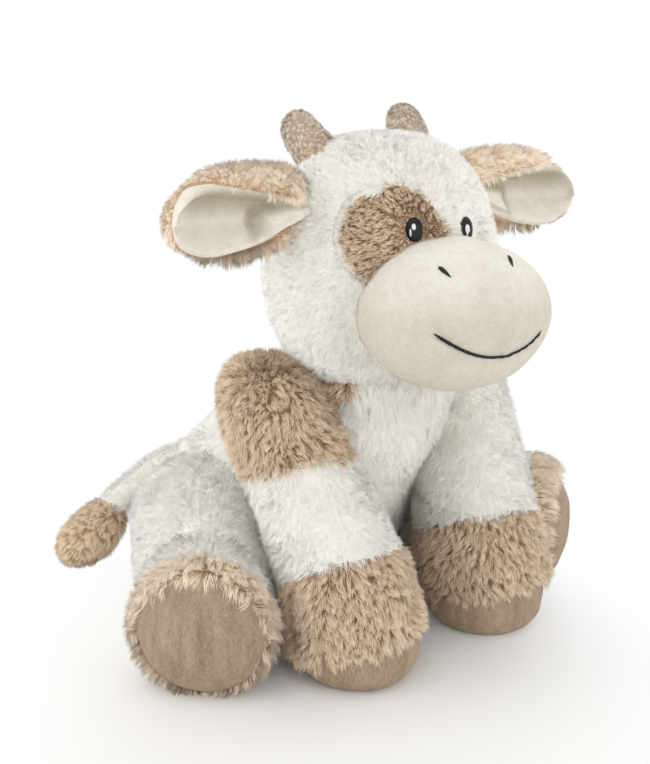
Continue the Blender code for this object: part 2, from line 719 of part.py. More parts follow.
def make_hind_leg(name, side):
    """A hind leg: thigh cover, cuff and sole over stuffing, dented where the front leg stands."""
    rings = hind_rings(side)
    hip, forward, _ = hind_frame(side)
    place = hip + Vector((0, 0, HIND_HALF_HEIGHT))
    limits = sorted(-side * v for v in HIND_SWING)
    sweep = swept(f"hind_{name}_sweep", TORSO, place, Vector((0, 0, 1)), limits)
    inside = stuffed(f"hind_{name}_inside", rings, None, -PILE, LIMB_INNER_SEGMENTS)
    dents = []
    for depth in (0, PILE, PILE + FIT_GAP):
        dent = stuffed(
            f"hind_{name}_dent_{len(dents)}",
            front_rings(name, side),
            by=FLEX_GAP + depth,
            segments=LIMB_SEGMENTS,
        )
        dents.append(dent)
    clear(inside, dents[1:2])
    toe = hip + forward * HIND_LENGTH
    past_cuff, short_of_cuff = seam(f"hind_{name}_cuff_seam", toe - forward * HIND_CUFF, forward)
    past_sole, short_of_sole = seam(f"hind_{name}_sole_seam", toe - forward * HIND_SOLE, forward)
    thigh = stuffed(f"hind_leg_{name}_cover", rings, WHITE_PLUSH, segments=LIMB_SEGMENTS)
    clear(thigh, [*sweep, dents[0]])
    carve(thigh, inside, past_cuff, FLOOR)
    cuff = stuffed(f"hind_leg_{name}_cuff", rings, TAN_PLUSH, segments=LIMB_SEGMENTS)
    clear(cuff, dents[:1])
    carve(cuff, inside, short_of_cuff, past_sole, FLOOR)
    sole = stuffed(f"hind_leg_{name}_sole", rings, TAUPE_VELOUR, segments=LIMB_SEGMENTS)
    carve(sole, inside, short_of_sole, FLOOR)
    filling = stuffed(
        f"hind_leg_{name}_filling", rings, STUFFING, -PILE - FIT_GAP, LIMB_INNER_SEGMENTS
    )
    clear(filling, [*sweep, dents[2]])
    pivot(f"hind_leg_{name}_pivot", place, [thigh, cuff, sole, filling])


def make_tail():
    """The tail's sleeve with a round root that turns in the rump, and the tuft at its end."""
    route = (TAIL_PIVOT, *TAIL_ROUTE)
    steps = len(route) - 1
    halves = []
    for k in range(len(route)):
        radius = TAIL_RADIUS + (TAIL_END_RADIUS - TAIL_RADIUS) * k / steps
        halves.append((radius, radius))
    sleeve = stuffed("tail_cover", route_rings(route, halves), WHITE_PLUSH, segments=TAIL_SEGMENTS)
    knob = ball("tail_root", TAIL_PIVOT, [TAIL_RADIUS] * 3, None, None, TRIM_SEGMENTS, TRIM_RINGS)
    carve(sleeve, knob, operation="UNION")
    sizes = [(share * TUFT_RADIUS, share * TUFT_RADIUS) for share in TUFT_SHARES]
    tuft = stuffed("tail_tuft", route_rings(TUFT_ROUTE, sizes), TAN_PLUSH, segments=TAIL_SEGMENTS)
    end = stuffed("tail_end", route_rings(route, halves), by=FIT_GAP, segments=TAIL_SEGMENTS)
    carve(tuft, end, FLOOR)
    pivot("tail_pivot", TAIL_PIVOT, [sleeve, tuft])


make_torso()
pivot("head_pivot", NECK, [*make_head(), *make_muzzle()])
for ear_name, ear_side in (("right", -1), ("left", 1)):
    make_ear(ear_name, ear_side)
    make_front_leg(ear_name, ear_side)
    make_hind_leg(ear_name, ear_side)
make_tail()
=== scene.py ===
"""Looks of the plush cow: pile as real strands, velour forms, stitches, floor, light and camera."""

import json
import math

import bmesh
import bpy
import numpy as np
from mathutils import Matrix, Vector
from mathutils.bvhtree import BVHTree
from mathutils.kdtree import KDTree


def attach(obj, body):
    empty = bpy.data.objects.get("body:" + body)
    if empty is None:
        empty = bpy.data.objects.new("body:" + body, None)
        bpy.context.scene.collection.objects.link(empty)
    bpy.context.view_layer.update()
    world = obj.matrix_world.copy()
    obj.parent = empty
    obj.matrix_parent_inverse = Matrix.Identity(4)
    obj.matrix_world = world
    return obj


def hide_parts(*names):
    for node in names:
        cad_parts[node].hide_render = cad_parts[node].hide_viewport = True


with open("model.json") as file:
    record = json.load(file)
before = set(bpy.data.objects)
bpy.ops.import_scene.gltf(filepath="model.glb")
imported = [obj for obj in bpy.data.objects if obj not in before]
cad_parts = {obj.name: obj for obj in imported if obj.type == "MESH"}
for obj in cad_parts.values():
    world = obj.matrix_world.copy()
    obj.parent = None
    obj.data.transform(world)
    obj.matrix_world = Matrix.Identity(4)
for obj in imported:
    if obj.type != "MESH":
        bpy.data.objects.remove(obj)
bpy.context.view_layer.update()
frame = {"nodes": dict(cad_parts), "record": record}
NODES = frame["nodes"]
BODY_OF = {n: b for b, ns in frame["record"]["behaviour"]["bodies"].items() for n in ns}
THIN = 1.0
STRANDS_PER_PIECE = 32000
SIDES = (("right", -1), ("left", 1))

# Places and sizes that the CAD solids have, in metres
HEAD_BASE = Vector((0, -0.107, 0.166))
HEAD_SIZES = (0.147, 0.0728, 0.061)
HEAD_SHARES = (
    (0.00, 0.34, 0.34),
    (0.07, 0.68, 0.66),
    (0.28, 0.98, 0.96),
    (0.54, 1.00, 1.01),
    (0.77, 0.87, 0.92),
    (0.94, 0.60, 0.66),
    (1.00, 0.26, 0.28),
)
MUZZLE_PLACE = (0.011, 0.057)
MUZZLE_SIZES = (0.098, 0.065, 0.046)
MUZZLE_SHARES = (
    (0.00, 0.58, 0.68, 0.00),
    (0.42, 0.82, 0.93, 0.00),
    (0.68, 0.95, 0.93, 0.04),
    (0.87, 0.79, 0.73, 0.10),
    (0.97, 0.50, 0.45, 0.14),
    (1.00, 0.24, 0.20, 0.14),
)
HORN_RADIUS = 0.0118
HORN_ROUTE = (Vector((0.028, 0.010, 0.128)), Vector((0.040, 0.023, 0.143)), Vector((0.040, 0.036, 0.1575)))
HORN_SHARES = ((0.00, 1.00), (0.45, 1.00), (0.88, 0.78), (1.00, 0.36))
EAR_ROOT = Vector((0.058, 0.001, 0.1155))
EAR_TIP = {"right": Vector((0.148, -0.011, 0.1125)), "left": Vector((0.144, -0.009, 0.101))}
EAR_HALF_HEIGHT = 0.0230
EAR_HALF_THICKNESS = 0.0120
EAR_SHARES = (
    (0.00, 0.62, 0.74),
    (0.16, 0.80, 0.92),
    (0.45, 1.00, 1.00),
    (0.74, 0.96, 0.84),
    (0.93, 0.60, 0.56),
    (1.00, 0.24, 0.26),
)
FRONT_HEIGHT = 0.182
FRONT_SHOULDER = (0.0693, -0.089)
FRONT_FOOT = {"right": (0.045, -0.145), "left": (0.062, -0.140)}
FRONT_HALVES = (0.040, 0.043)
FRONT_SHARES = (
    (0.00, 1.00, 0.46, 0.42),
    (0.00, 1.00, 0.88, 0.88),
    (0.10, 1.00, 1.00, 1.00),
    (0.34, 0.90, 0.93, 0.91),
    (0.60, 0.46, 0.78, 0.88),
    (0.82, 0.08, 0.72, 0.91),
    (0.95, 0.00, 0.58, 0.76),
    (1.00, 0.00, 0.36, 0.44),
)
HIND_HIP = (0.058, -0.030)
HIND_SPLAY = math.radians(41)
HIND_RUN = (0.038, 0.134)
HIND_SIZES = (0.015, 0.0520, 0.0510)
HIND_SOLE = 0.011
HIND_SHARES = (
    (0.00, 0.60, 1.00, 0.56, 0.54),
    (0.10, 0.75, 0.99, 0.95, 0.92),
    (0.28, 0.95, 1.00, 1.00, 1.00),
    (0.50, 0.80, 0.93, 0.93, 0.90),
    (0.72, 0.25, 0.80, 0.80, 0.74),
    (0.88, 0.00, 0.80, 0.80, 0.82),
    (0.97, 0.00, 0.76, 0.70, 0.74),
    (1.00, 0.00, 0.74, 0.40, 0.42),
)
FLOOR_CUT = 0.002
EYE_X = 0.0185
EYE_RISE = {"right": 0.1025, "left": 0.0995}
EYE_SIZES = (0.0050, 0.0068, 0.0024)
NOSTRIL = (0.0235, 0.0855)
MOUTH = (0.037, 0.003, 0.0525, 0.0125, 0.0045)

# The photograph's camera, and where colours meet as it sees them, in its pixels
CAMERA_PLACE = np.array([-0.43038, -0.67165, 0.39331])
CAMERA_AIM = np.array([-0.02531, -0.08453, 0.16155])
CAMERA_LENS = 56.75
CAMERA_SENSOR = 36
FOCAL = 1204.4
IMAGE_MIDDLE = (325, 382)
EYE_PATCH_EDGE = (
    (342, 236), (344, 224), (347, 212), (354, 203), (363, 197), (378, 196), (387, 189), (395, 185),
    (404, 187), (410, 193), (421, 197), (431, 205), (435, 214), (439, 224), (445, 231), (452, 238),
    (440, 262), (400, 278), (376, 287), (368, 281), (358, 275), (351, 262), (346, 252), (342, 245),
)
SHOULDER_EDGE = (
    (262, 340), (280, 332), (330, 340), (362, 348), (364, 372), (352, 388), (346, 400), (343, 420),
    (344, 440), (347, 452), (345, 461), (330, 459), (318, 461), (305, 459), (298, 466), (290, 470),
    (280, 467), (272, 472), (256, 475), (240, 472), (228, 463), (223, 440), (219, 420), (221, 402),
    (224, 380), (240, 350),
)
# Height of the cuffs' top and of their hem in the middle of a leg, and their slopes aside and ahead
CUFF_TOP = {"right": (0.059, 0.03, -0.60), "left": (0.058, -0.14, -0.55)}
HEM = {"right": (0.0105, -0.08, -0.36), "left": (0.0105, -0.06, -0.44)}
HIND_SEAM = 0.108


# Materials


def tree_of(name):
    material = bpy.data.materials.new(name)
    material.use_nodes = True
    tree = material.node_tree
    return material, tree, tree.nodes["Principled BSDF"]


def set_inputs(node, values):
    for key, value in values.items():
        node.inputs[key].default_value = value


def add_node(tree, kind, inputs=None, **values):
    node = tree.nodes.new(kind)
    for key, value in values.items():
        setattr(node, key, value)
    set_inputs(node, inputs or {})
    return node


def wire(tree, *links):
    """Join nodes: each link is a node, its output, the next node and that one's input."""
    for start, output, end, socket in links:
        tree.links.new(start.outputs[output], end.inputs[socket])


def ramp(tree, stops):
    node = tree.nodes.new("ShaderNodeValToRGB")
    elements = node.color_ramp.elements
    while len(elements) < len(stops):
        elements.new(0.5)
    for element, (place, colour) in zip(elements, stops):
        element.position = place
        element.color = (*colour, 1)
    return node


def strand_material(name, places, light_colours, dark_colours):
    """Colour runs along each strand (v) and differs from strand to strand (u)."""
    material, tree, shader = tree_of(name)
    uv = add_node(tree, "ShaderNodeUVMap", uv_map="OFBake")
    parts = add_node(tree, "ShaderNodeSeparateXYZ")
    light, dark = (ramp(tree, list(zip(places, colours))) for colours in (light_colours, dark_colours))
    mix = add_node(tree, "ShaderNodeMix", data_type="RGBA")
    wire(
        tree,
        (uv, "UV", parts, 0),
        (parts, "Y", light, "Fac"),
        (parts, "Y", dark, "Fac"),
        (parts, "X", mix, "Factor"),
        (light, "Color", mix, "A"),
        (dark, "Color", mix, "B"),
        (mix, "Result", shader, "Base Color"),
    )
    set_inputs(shader, {"Roughness": 0.7, "Specular IOR Level": 0.2})
    return material


def pile_material(
    name, low, high, grain, bump, distance,
    roughness=0.9, sheen=0.0, brushed=(1.0, 1.0, 1.0), broad=26.0, painted_downward_shade=None, hollow=None,
):
    """Short pile seen as fine grain, with broad soft shade where it is brushed.

    Where a downward shade is given, the colour is multiplied by its two colours as the normal's height runs
    between its two heights: painted shade, darker facing down and lighter facing up, as if lit from above.
    hollow is the colour that it is multiplied by where the mesh says so: painted shade in a hollow.
    """
    material, tree, shader = tree_of(name)
    place = add_node(tree, "ShaderNodeTexCoord")
    scaled = add_node(tree, "ShaderNodeVectorMath", {1: brushed}, operation="MULTIPLY")
    wire(tree, (place, "Object", scaled, 0))

    def noise(scale, detail):
        node = add_node(tree, "ShaderNodeTexNoise", {"Scale": scale, "Detail": detail, "Roughness": 0.6})
        wire(tree, (scaled, "Vector", node, "Vector"))
        return node

    def mean(first, second, share, output):
        node = add_node(tree, "ShaderNodeMix", {"Factor": share}, data_type="FLOAT")
        wire(tree, (first, "Fac", node, "A"), (second, output, node, "B"))
        return node

    streaks = mean(noise(grain * 0.16, 3.0), noise(broad, 4.0), 0.5, "Fac")
    both = mean(noise(grain, 3.0), streaks, 0.55, "Result")

    def shade(by=(1.0, 1.0, 1.0)):
        colours = [tuple(b * c for b, c in zip(by, colour)) for colour in (low, high)]
        node = ramp(tree, list(zip((0.38, 0.60), colours)))
        wire(tree, (both, "Result", node, "Fac"))
        return node, "Color"

    surface = shade()
    # Painted shade in a hollow, where the mesh's "hollow" attribute says so
    if hollow:
        deep = add_node(tree, "ShaderNodeAttribute", attribute_name="hollow")
        mix = add_node(tree, "ShaderNodeMix", data_type="RGBA")
        wire(tree, (deep, "Fac", mix, "Factor"), (*surface, mix, "A"), (*shade(hollow), mix, "B"))
        surface = mix, "Result"
    # Painted shade: darker where the surface faces down, lighter where it faces up, as if lit from above
    if painted_downward_shade:
        start, end, below, above = painted_downward_shade
        facing = add_node(tree, "ShaderNodeSeparateXYZ")
        height = add_node(tree, "ShaderNodeMapRange", {"From Min": start, "From Max": end})
        painted_light_by_facing = ramp(tree, [(0.0, below), (1.0, above)])
        mix = add_node(tree, "ShaderNodeMix", {"Factor": 1.0}, data_type="RGBA", blend_type="MULTIPLY")
        wire(
            tree,
            (place, "Normal", facing, 0),
            (facing, "Z", height, "Value"),
            (height, "Result", painted_light_by_facing, "Fac"),
            (*surface, mix, "A"),
            (painted_light_by_facing, "Color", mix, "B"),
        )
        surface = mix, "Result"
    relief = add_node(tree, "ShaderNodeBump", {"Strength": bump, "Distance": distance})
    wire(
        tree,
        (*surface, shader, "Base Color"),
        (both, "Result", relief, "Height"),
        (relief, "Normal", shader, "Normal"),
    )
    set_inputs(
        shader,
        {"Roughness": roughness, "Specular IOR Level": 0.15, "Sheen Weight": sheen, "Sheen Roughness": 0.5},
    )
    return material


def thread_material(name, low, high, roughness):
    """Thread with fine ridges across it."""
    material, tree, shader = tree_of(name)
    place = add_node(tree, "ShaderNodeTexCoord")
    ridges = {"Scale": 620.0, "Distortion": 1.2, "Detail": 1.0}
    wave = add_node(tree, "ShaderNodeTexWave", ridges, bands_direction="X")
    colour = ramp(tree, [(0.0, low), (1.0, high)])
    relief = add_node(tree, "ShaderNodeBump", {"Strength": 0.35, "Distance": 0.0003})
    wire(
        tree,
        (place, "Object", wave, "Vector"),
        (wave, "Fac", colour, "Fac"),
        (colour, "Color", shader, "Base Color"),
        (wave, "Fac", relief, "Height"),
        (relief, "Normal", shader, "Normal"),
    )
    set_inputs(shader, {"Roughness": roughness, "Specular IOR Level": 0.3})
    return material


WHITE_STRANDS = strand_material(
    "white_strands",
    (0.0, 0.35, 1.0),
    ((0.88, 0.85, 0.76), (0.935, 0.92, 0.86), (0.955, 0.945, 0.905)),
    ((0.80, 0.76, 0.65), (0.89, 0.87, 0.795), (0.92, 0.90, 0.845)),
)
TAN_STRANDS = strand_material(
    "tan_strands",
    (0.0, 0.38, 0.66, 1.0),
    ((0.20, 0.11, 0.06), (0.55, 0.37, 0.235), (0.92, 0.72, 0.525), (1.0, 0.91, 0.75)),
    ((0.13, 0.07, 0.038), (0.34, 0.21, 0.125), (0.66, 0.47, 0.31), (0.86, 0.70, 0.52)),
)
PALE_TAN_STRANDS = strand_material(
    "pale_tan_strands",
    (0.0, 0.34, 1.0),
    ((0.52, 0.32, 0.18), (0.94, 0.73, 0.53), (1.0, 0.95, 0.83)),
    ((0.36, 0.21, 0.11), (0.78, 0.56, 0.38), (1.0, 0.86, 0.68)),
)
HORN_STRANDS = strand_material(
    "horn_strands",
    (0.0, 0.5, 1.0),
    ((0.42, 0.325, 0.24), (0.69, 0.575, 0.455), (0.91, 0.81, 0.68)),
    ((0.28, 0.21, 0.155), (0.49, 0.395, 0.305), (0.69, 0.585, 0.47)),
)
WHITE_SKIN = pile_material("white_skin", (0.86, 0.82, 0.73), (0.95, 0.93, 0.86), 900, 0.4, 0.001)
TAN_SKIN = pile_material("tan_skin", (0.21, 0.12, 0.065), (0.38, 0.24, 0.14), 900, 0.4, 0.001)
EAR_SKIN = pile_material("ear_skin", (0.40, 0.24, 0.13), (0.62, 0.42, 0.26), 900, 0.4, 0.001)
# The muzzle's cream pile, with painted shade that darkens it where it faces down and lightens it a little
# where it faces up
CREAM = pile_material(
    "cream_pile", (0.62, 0.578, 0.495), (0.75, 0.722, 0.648), 1500, 0.30, 0.0005, 0.85, 0.04,
    painted_downward_shade=(0.15, 0.95, (0.81, 0.795, 0.77), (1.04, 1.04, 1.05)),
)
# The ear linings' cream pile, with painted shade where the mesh's "hollow" attribute marks a hollow
LINING = pile_material(
    "lining_pile", (0.62, 0.575, 0.49), (0.76, 0.72, 0.64), 1500, 0.30, 0.0005, 0.85, 0.04,
    hollow=(0.62, 0.585, 0.53),
)
TAUPE = pile_material(
    "taupe_pile", (0.23, 0.16, 0.11), (0.40, 0.30, 0.21), 1300, 0.40, 0.0006, 0.85, 0.10,
    brushed=(1.0, 1.0, 0.22), broad=60.0,
)
HORN = pile_material("horn_pile", (0.36, 0.255, 0.185), (0.60, 0.46, 0.35), 1300, 0.5, 0.001, 0.9, 0.05)
BLACK_SATIN = thread_material("black_satin", (0.003, 0.003, 0.004), (0.012, 0.012, 0.015), 0.38)
BLACK_YARN = thread_material("black_yarn", (0.004, 0.004, 0.006), (0.022, 0.022, 0.028), 0.6)
WHITE_SATIN = thread_material("white_satin", (0.55, 0.56, 0.60), (0.95, 0.95, 0.96), 0.35)


# Forms


def on_head(side, *places):
    """Places given from the middle of the head's base, on one side of it."""
    return [HEAD_BASE + Vector((v.x * side, v.y, v.z)) for v in places]


def hind_frame(side):
    hip = Vector((HIND_HIP[0] * side, HIND_HIP[1], 0))
    forward = Vector((side * math.sin(HIND_SPLAY), -math.cos(HIND_SPLAY), 0))
    outward = Vector((side * math.cos(HIND_SPLAY), math.sin(HIND_SPLAY), 0))
    return hip, forward, outward


def oval_rings(form, name="", side=1):
    """The same oval rings that the CAD source lofts, each (centre, half axis, half axis)."""
    rings = []
    if form == "head":
        height, width, depth = HEAD_SIZES
        for z, w, d in HEAD_SHARES:
            centre = HEAD_BASE + Vector((0, 0, z * height))
            rings.append((centre, Vector((w * width, 0, 0)), Vector((0, d * depth, 0))))
    elif form == "muzzle":
        reach, width, height = MUZZLE_SIZES
        root, rise = MUZZLE_PLACE
        for r, w, h, drop in MUZZLE_SHARES:
            centre = HEAD_BASE + Vector((0, -root - r * reach, rise - drop * height))
            rings.append((centre, Vector((w * width, 0, 0)), Vector((0, 0, h * height))))
    elif form == "horn":
        root, bend, tip = on_head(side, *HORN_ROUTE)
        forward = (tip - root).normalized()
        across = forward.cross(Vector((0, 1, 0))).normalized()
        along = across.cross(forward).normalized()
        for place, radius in HORN_SHARES:
            point = root.lerp(bend, place).lerp(bend.lerp(tip, place), place)
            rings.append((point, across * radius * HORN_RADIUS, along * radius * HORN_RADIUS))
    elif form == "ear":
        root, tip = on_head(side, EAR_ROOT, EAR_TIP[name])
        for place, h, t in EAR_SHARES:
            up, ahead = Vector((0, 0, h * EAR_HALF_HEIGHT)), Vector((0, t * EAR_HALF_THICKNESS, 0))
            rings.append((root.lerp(tip, place), up, ahead))
    elif form == "front":
        shoulder = Vector((FRONT_SHOULDER[0] * side, FRONT_SHOULDER[1], 0))
        foot = Vector((FRONT_FOOT[name][0] * side, FRONT_FOOT[name][1], 0))
        for z, travel, w, d in FRONT_SHARES:
            centre = shoulder.lerp(foot, travel)
            centre.z = z * (FRONT_HEIGHT + FLOOR_CUT) - FLOOR_CUT
            rings.append((centre, Vector((w * FRONT_HALVES[0], 0, 0)), Vector((0, d * FRONT_HALVES[1], 0))))
    elif form == "hind":
        hip, forward, outward = hind_frame(side)
        for place, bow, lift, h, w in HIND_SHARES:
            run = place * sum(HIND_RUN) - HIND_RUN[0]
            centre = hip + forward * run + outward * bow * HIND_SIZES[0]
            centre.z = lift * HIND_SIZES[1] - FLOOR_CUT
            rings.append((centre, outward * w * HIND_SIZES[2], Vector((0, 0, h * HIND_SIZES[1]))))
    return rings


def close_loops(bm, loops, ends=(0, -1), merged=0):
    """Faces from each closed row of vertices to the next and over the end rows, seen from outside."""
    for low, high in zip(loops, loops[1:]):
        for k in range(len(low)):
            n = (k + 1) % len(low)
            bm.faces.new((low[k], low[n], high[n], high[k]))
    for end in ends:
        bm.faces.new(loops[end])
    if merged:
        bmesh.ops.remove_doubles(bm, verts=bm.verts, dist=merged)
    bmesh.ops.recalc_face_normals(bm, faces=bm.faces)


def add_object(name, data):
    thing = bpy.data.objects.new(name, data)
    bpy.context.scene.collection.objects.link(thing)
    return thing


def smooth_form(rings, segments, levels):
    """The subdivided loft of the rings, as a bmesh."""
    drawn_in = (3 + math.cos(math.tau / segments)) / 4
    cage = bmesh.new()
    turns = [math.tau * k / segments for k in range(segments)]
    loops = [
        [cage.verts.new(c + (a * math.cos(t) + b * math.sin(t)) / drawn_in) for t in turns]
        for c, a, b in rings
    ]
    close_loops(cage, loops)
    mesh = bpy.data.meshes.new("cage")
    cage.to_mesh(mesh)
    cage.free()
    holder = add_object("cage", mesh)
    smooth = holder.modifiers.new("smooth", "SUBSURF")
    smooth.levels = levels
    smooth.render_levels = levels
    bpy.context.view_layer.update()
    made = holder.evaluated_get(bpy.context.evaluated_depsgraph_get())
    bm = bmesh.new()
    bm.from_mesh(made.to_mesh())
    made.to_mesh_clear()
    bpy.data.objects.remove(holder, do_unlink=True)
    bpy.data.meshes.remove(mesh)
    bm.normal_update()
    return bm


def step(low, high, value):
    t = np.clip((value - low) / (high - low), 0, 1)
    return t * t * (3 - 2 * t)


def hump(value, width):
    return np.exp(-((value / width) ** 2))


def waves(p, scale, seed):
    """Smooth noise from sums of sines, about -1 to 1, one value a point."""
    rng = np.random.default_rng(seed)
    total = np.zeros(len(p))
    for _ in range(7):
        direction = rng.normal(0, 1, 3)
        direction /= np.linalg.norm(direction)
        total += np.sin(p @ direction * (math.tau / scale) * rng.uniform(0.6, 1.6) + rng.uniform(0, math.tau))
    return total / 3.2


def move_points(bm, shift):
    """Shift every vertex by what shift(points, normals) gives."""
    bm.verts.ensure_lookup_table()
    bm.normal_update()
    points = np.array([v.co for v in bm.verts])
    normals = np.array([v.normal for v in bm.verts])
    for vert, place in zip(bm.verts, points + shift(points, normals)):
        vert.co = place
    bm.normal_update()


def rest_on_floor(bm, clearance=0.0003):
    for vert in bm.verts:
        vert.co.z = max(vert.co.z, clearance)
    bm.normal_update()


def keep_ahead(bm, point, normal):
    """Cut a form with a plane, keep what lies on the normal's side and close the cut."""
    geometry = bm.verts[:] + bm.edges[:] + bm.faces[:]
    cut = bmesh.ops.bisect_plane(bm, geom=geometry, plane_co=point, plane_no=normal, clear_inner=True)
    edges = [e for e in cut["geom_cut"] if isinstance(e, bmesh.types.BMEdge)]
    bmesh.ops.holes_fill(bm, edges=edges, sides=0)
    bm.normal_update()


def drop_hidden(bm, tree, depth=0.003):
    """Delete what lies deeper than this inside another form, and close the hole."""
    bm.verts.index_update()
    inside = []
    for vert in bm.verts:
        place, normal, _, distance = tree.find_nearest(vert.co)
        inside.append(distance > depth and (vert.co - place).dot(normal) < 0)
    doomed = [f for f in bm.faces if all(inside[v.index] for v in f.verts)]
    bmesh.ops.delete(bm, geom=doomed, context="FACES")
    open_edges = [e for e in bm.edges if len(e.link_faces) == 1]
    bmesh.ops.holes_fill(bm, edges=open_edges, sides=0)
    bm.normal_update()


def stand_in(name, mesh, node):
    """Add a piece that rides with a CAD node's body and stands for the node."""
    piece = add_object(name, mesh)
    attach(piece, BODY_OF[node])
    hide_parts(node)
    return piece


def put(name, shape, material, node):
    """A finished mesh, from a bmesh or from vertices and faces, that stands for a CAD node."""
    mesh = bpy.data.meshes.new(name)
    if isinstance(shape, bmesh.types.BMesh):
        shape.to_mesh(mesh)
        shape.free()
    else:
        mesh.from_pydata(*shape)
    mesh.shade_smooth()
    mesh.materials.clear()
    mesh.materials.append(material)
    piece = stand_in(name, mesh, node)
    return piece


# Strands


def arrays_of(bm):
    """Vertices and triangles of a form, for planting pile on."""
    copy = bm.copy()
    bmesh.ops.triangulate(copy, faces=copy.faces)
    copy.verts.index_update()
    co = np.array([v.co for v in copy.verts])
    tri = np.array([[v.index for v in f.verts] for f in copy.faces])
    copy.free()
    return co, tri


def world_mesh(node):
    """Vertices and triangles of a CAD node."""
    mesh = NODES[node].data
    mesh.calc_loop_triangles()
    co = np.empty(len(mesh.vertices) * 3)
    mesh.vertices.foreach_get("co", co)
    tri = np.empty(len(mesh.loop_triangles) * 3, np.int64)
    mesh.loop_triangles.foreach_get("vertices", tri)
    return co.reshape(-1, 3), tri.reshape(-1, 3)


def solids_tree(without=()):
    points, faces, start = [], [], 0
    for name in NODES:
        if name not in without:
            co, tri = world_mesh(name)
            points.append(co)
            faces.append(tri + start)
            start += len(co)
    return BVHTree.FromPolygons(np.concatenate(points).tolist(), np.concatenate(faces).tolist())


ALL = solids_tree()
OPEN, PARTLY, COVERED = 0, 1, 2


def seeds(co, tri, density, rng, clearance, tree):
    """Random points on the visible outside of a surface, with smooth normals there."""
    a, b, c = co[tri[:, 0]], co[tri[:, 1]], co[tri[:, 2]]
    flat = np.cross(b - a, c - a)
    _, same = np.unique(np.round(co, 5), axis=0, return_inverse=True)
    same = same.reshape(-1)
    total = np.zeros((same.max() + 1, 3))
    for k in range(3):
        np.add.at(total, same[tri[:, k]], flat)
    vertex_normals = total[same]
    size = np.linalg.norm(flat, axis=1)
    face_normal = flat / (size[:, None] + 1e-15)

    def hidden(point, normal):
        return tree.ray_cast(Vector(point + normal * 1e-4), Vector(normal), clearance)[0] is not None

    middle = (a + b + c) / 3
    state = np.zeros(len(tri), np.int8)
    for k in range(len(tri)):
        probes = [middle[k]] + [middle[k] + (corner[k] - middle[k]) * 0.9 for corner in (a, b, c)]
        found = sum(hidden(p, face_normal[k]) for p in probes)
        state[k] = COVERED if found == len(probes) else (PARTLY if found else OPEN)
    area = np.where(state == COVERED, 0, size / 2)
    count = max(1, int(area.sum() * 1e6 * density))
    pick = rng.choice(len(tri), count, p=area / area.sum())
    r1, r2 = np.sqrt(rng.random(count)), rng.random(count)
    weights = np.stack([1 - r1, r1 * (1 - r2), r1 * r2], 1)[:, :, None]
    points = (co[tri[pick]] * weights).sum(1)
    face = face_normal[pick]
    normals = (vertex_normals[tri[pick]] * weights).sum(1)
    normals /= np.linalg.norm(normals, axis=1, keepdims=True) + 1e-15
    normals = np.where((normals * face).sum(1, keepdims=True) > 0.3, normals, face)
    keep = np.ones(count, bool)
    for k in np.nonzero(state[pick] == PARTLY)[0]:
        keep[k] = not hidden(points[k], face[k])
    return points[keep], normals[keep]


def unit(v):
    return v / (np.linalg.norm(v, axis=-1, keepdims=True) + 1e-12)


def nearest(points, centres):
    tree = KDTree(len(centres))
    for k, centre in enumerate(centres):
        tree.insert(centre, k)
    tree.balance()
    return np.array([tree.find(p)[1] for p in points])


ROOT_DEPTH = 0.0004
LEAST_RISE = 0.0014
TIP_FLOOR = 0.0006
MIDDLE_FLOOR = 0.0004


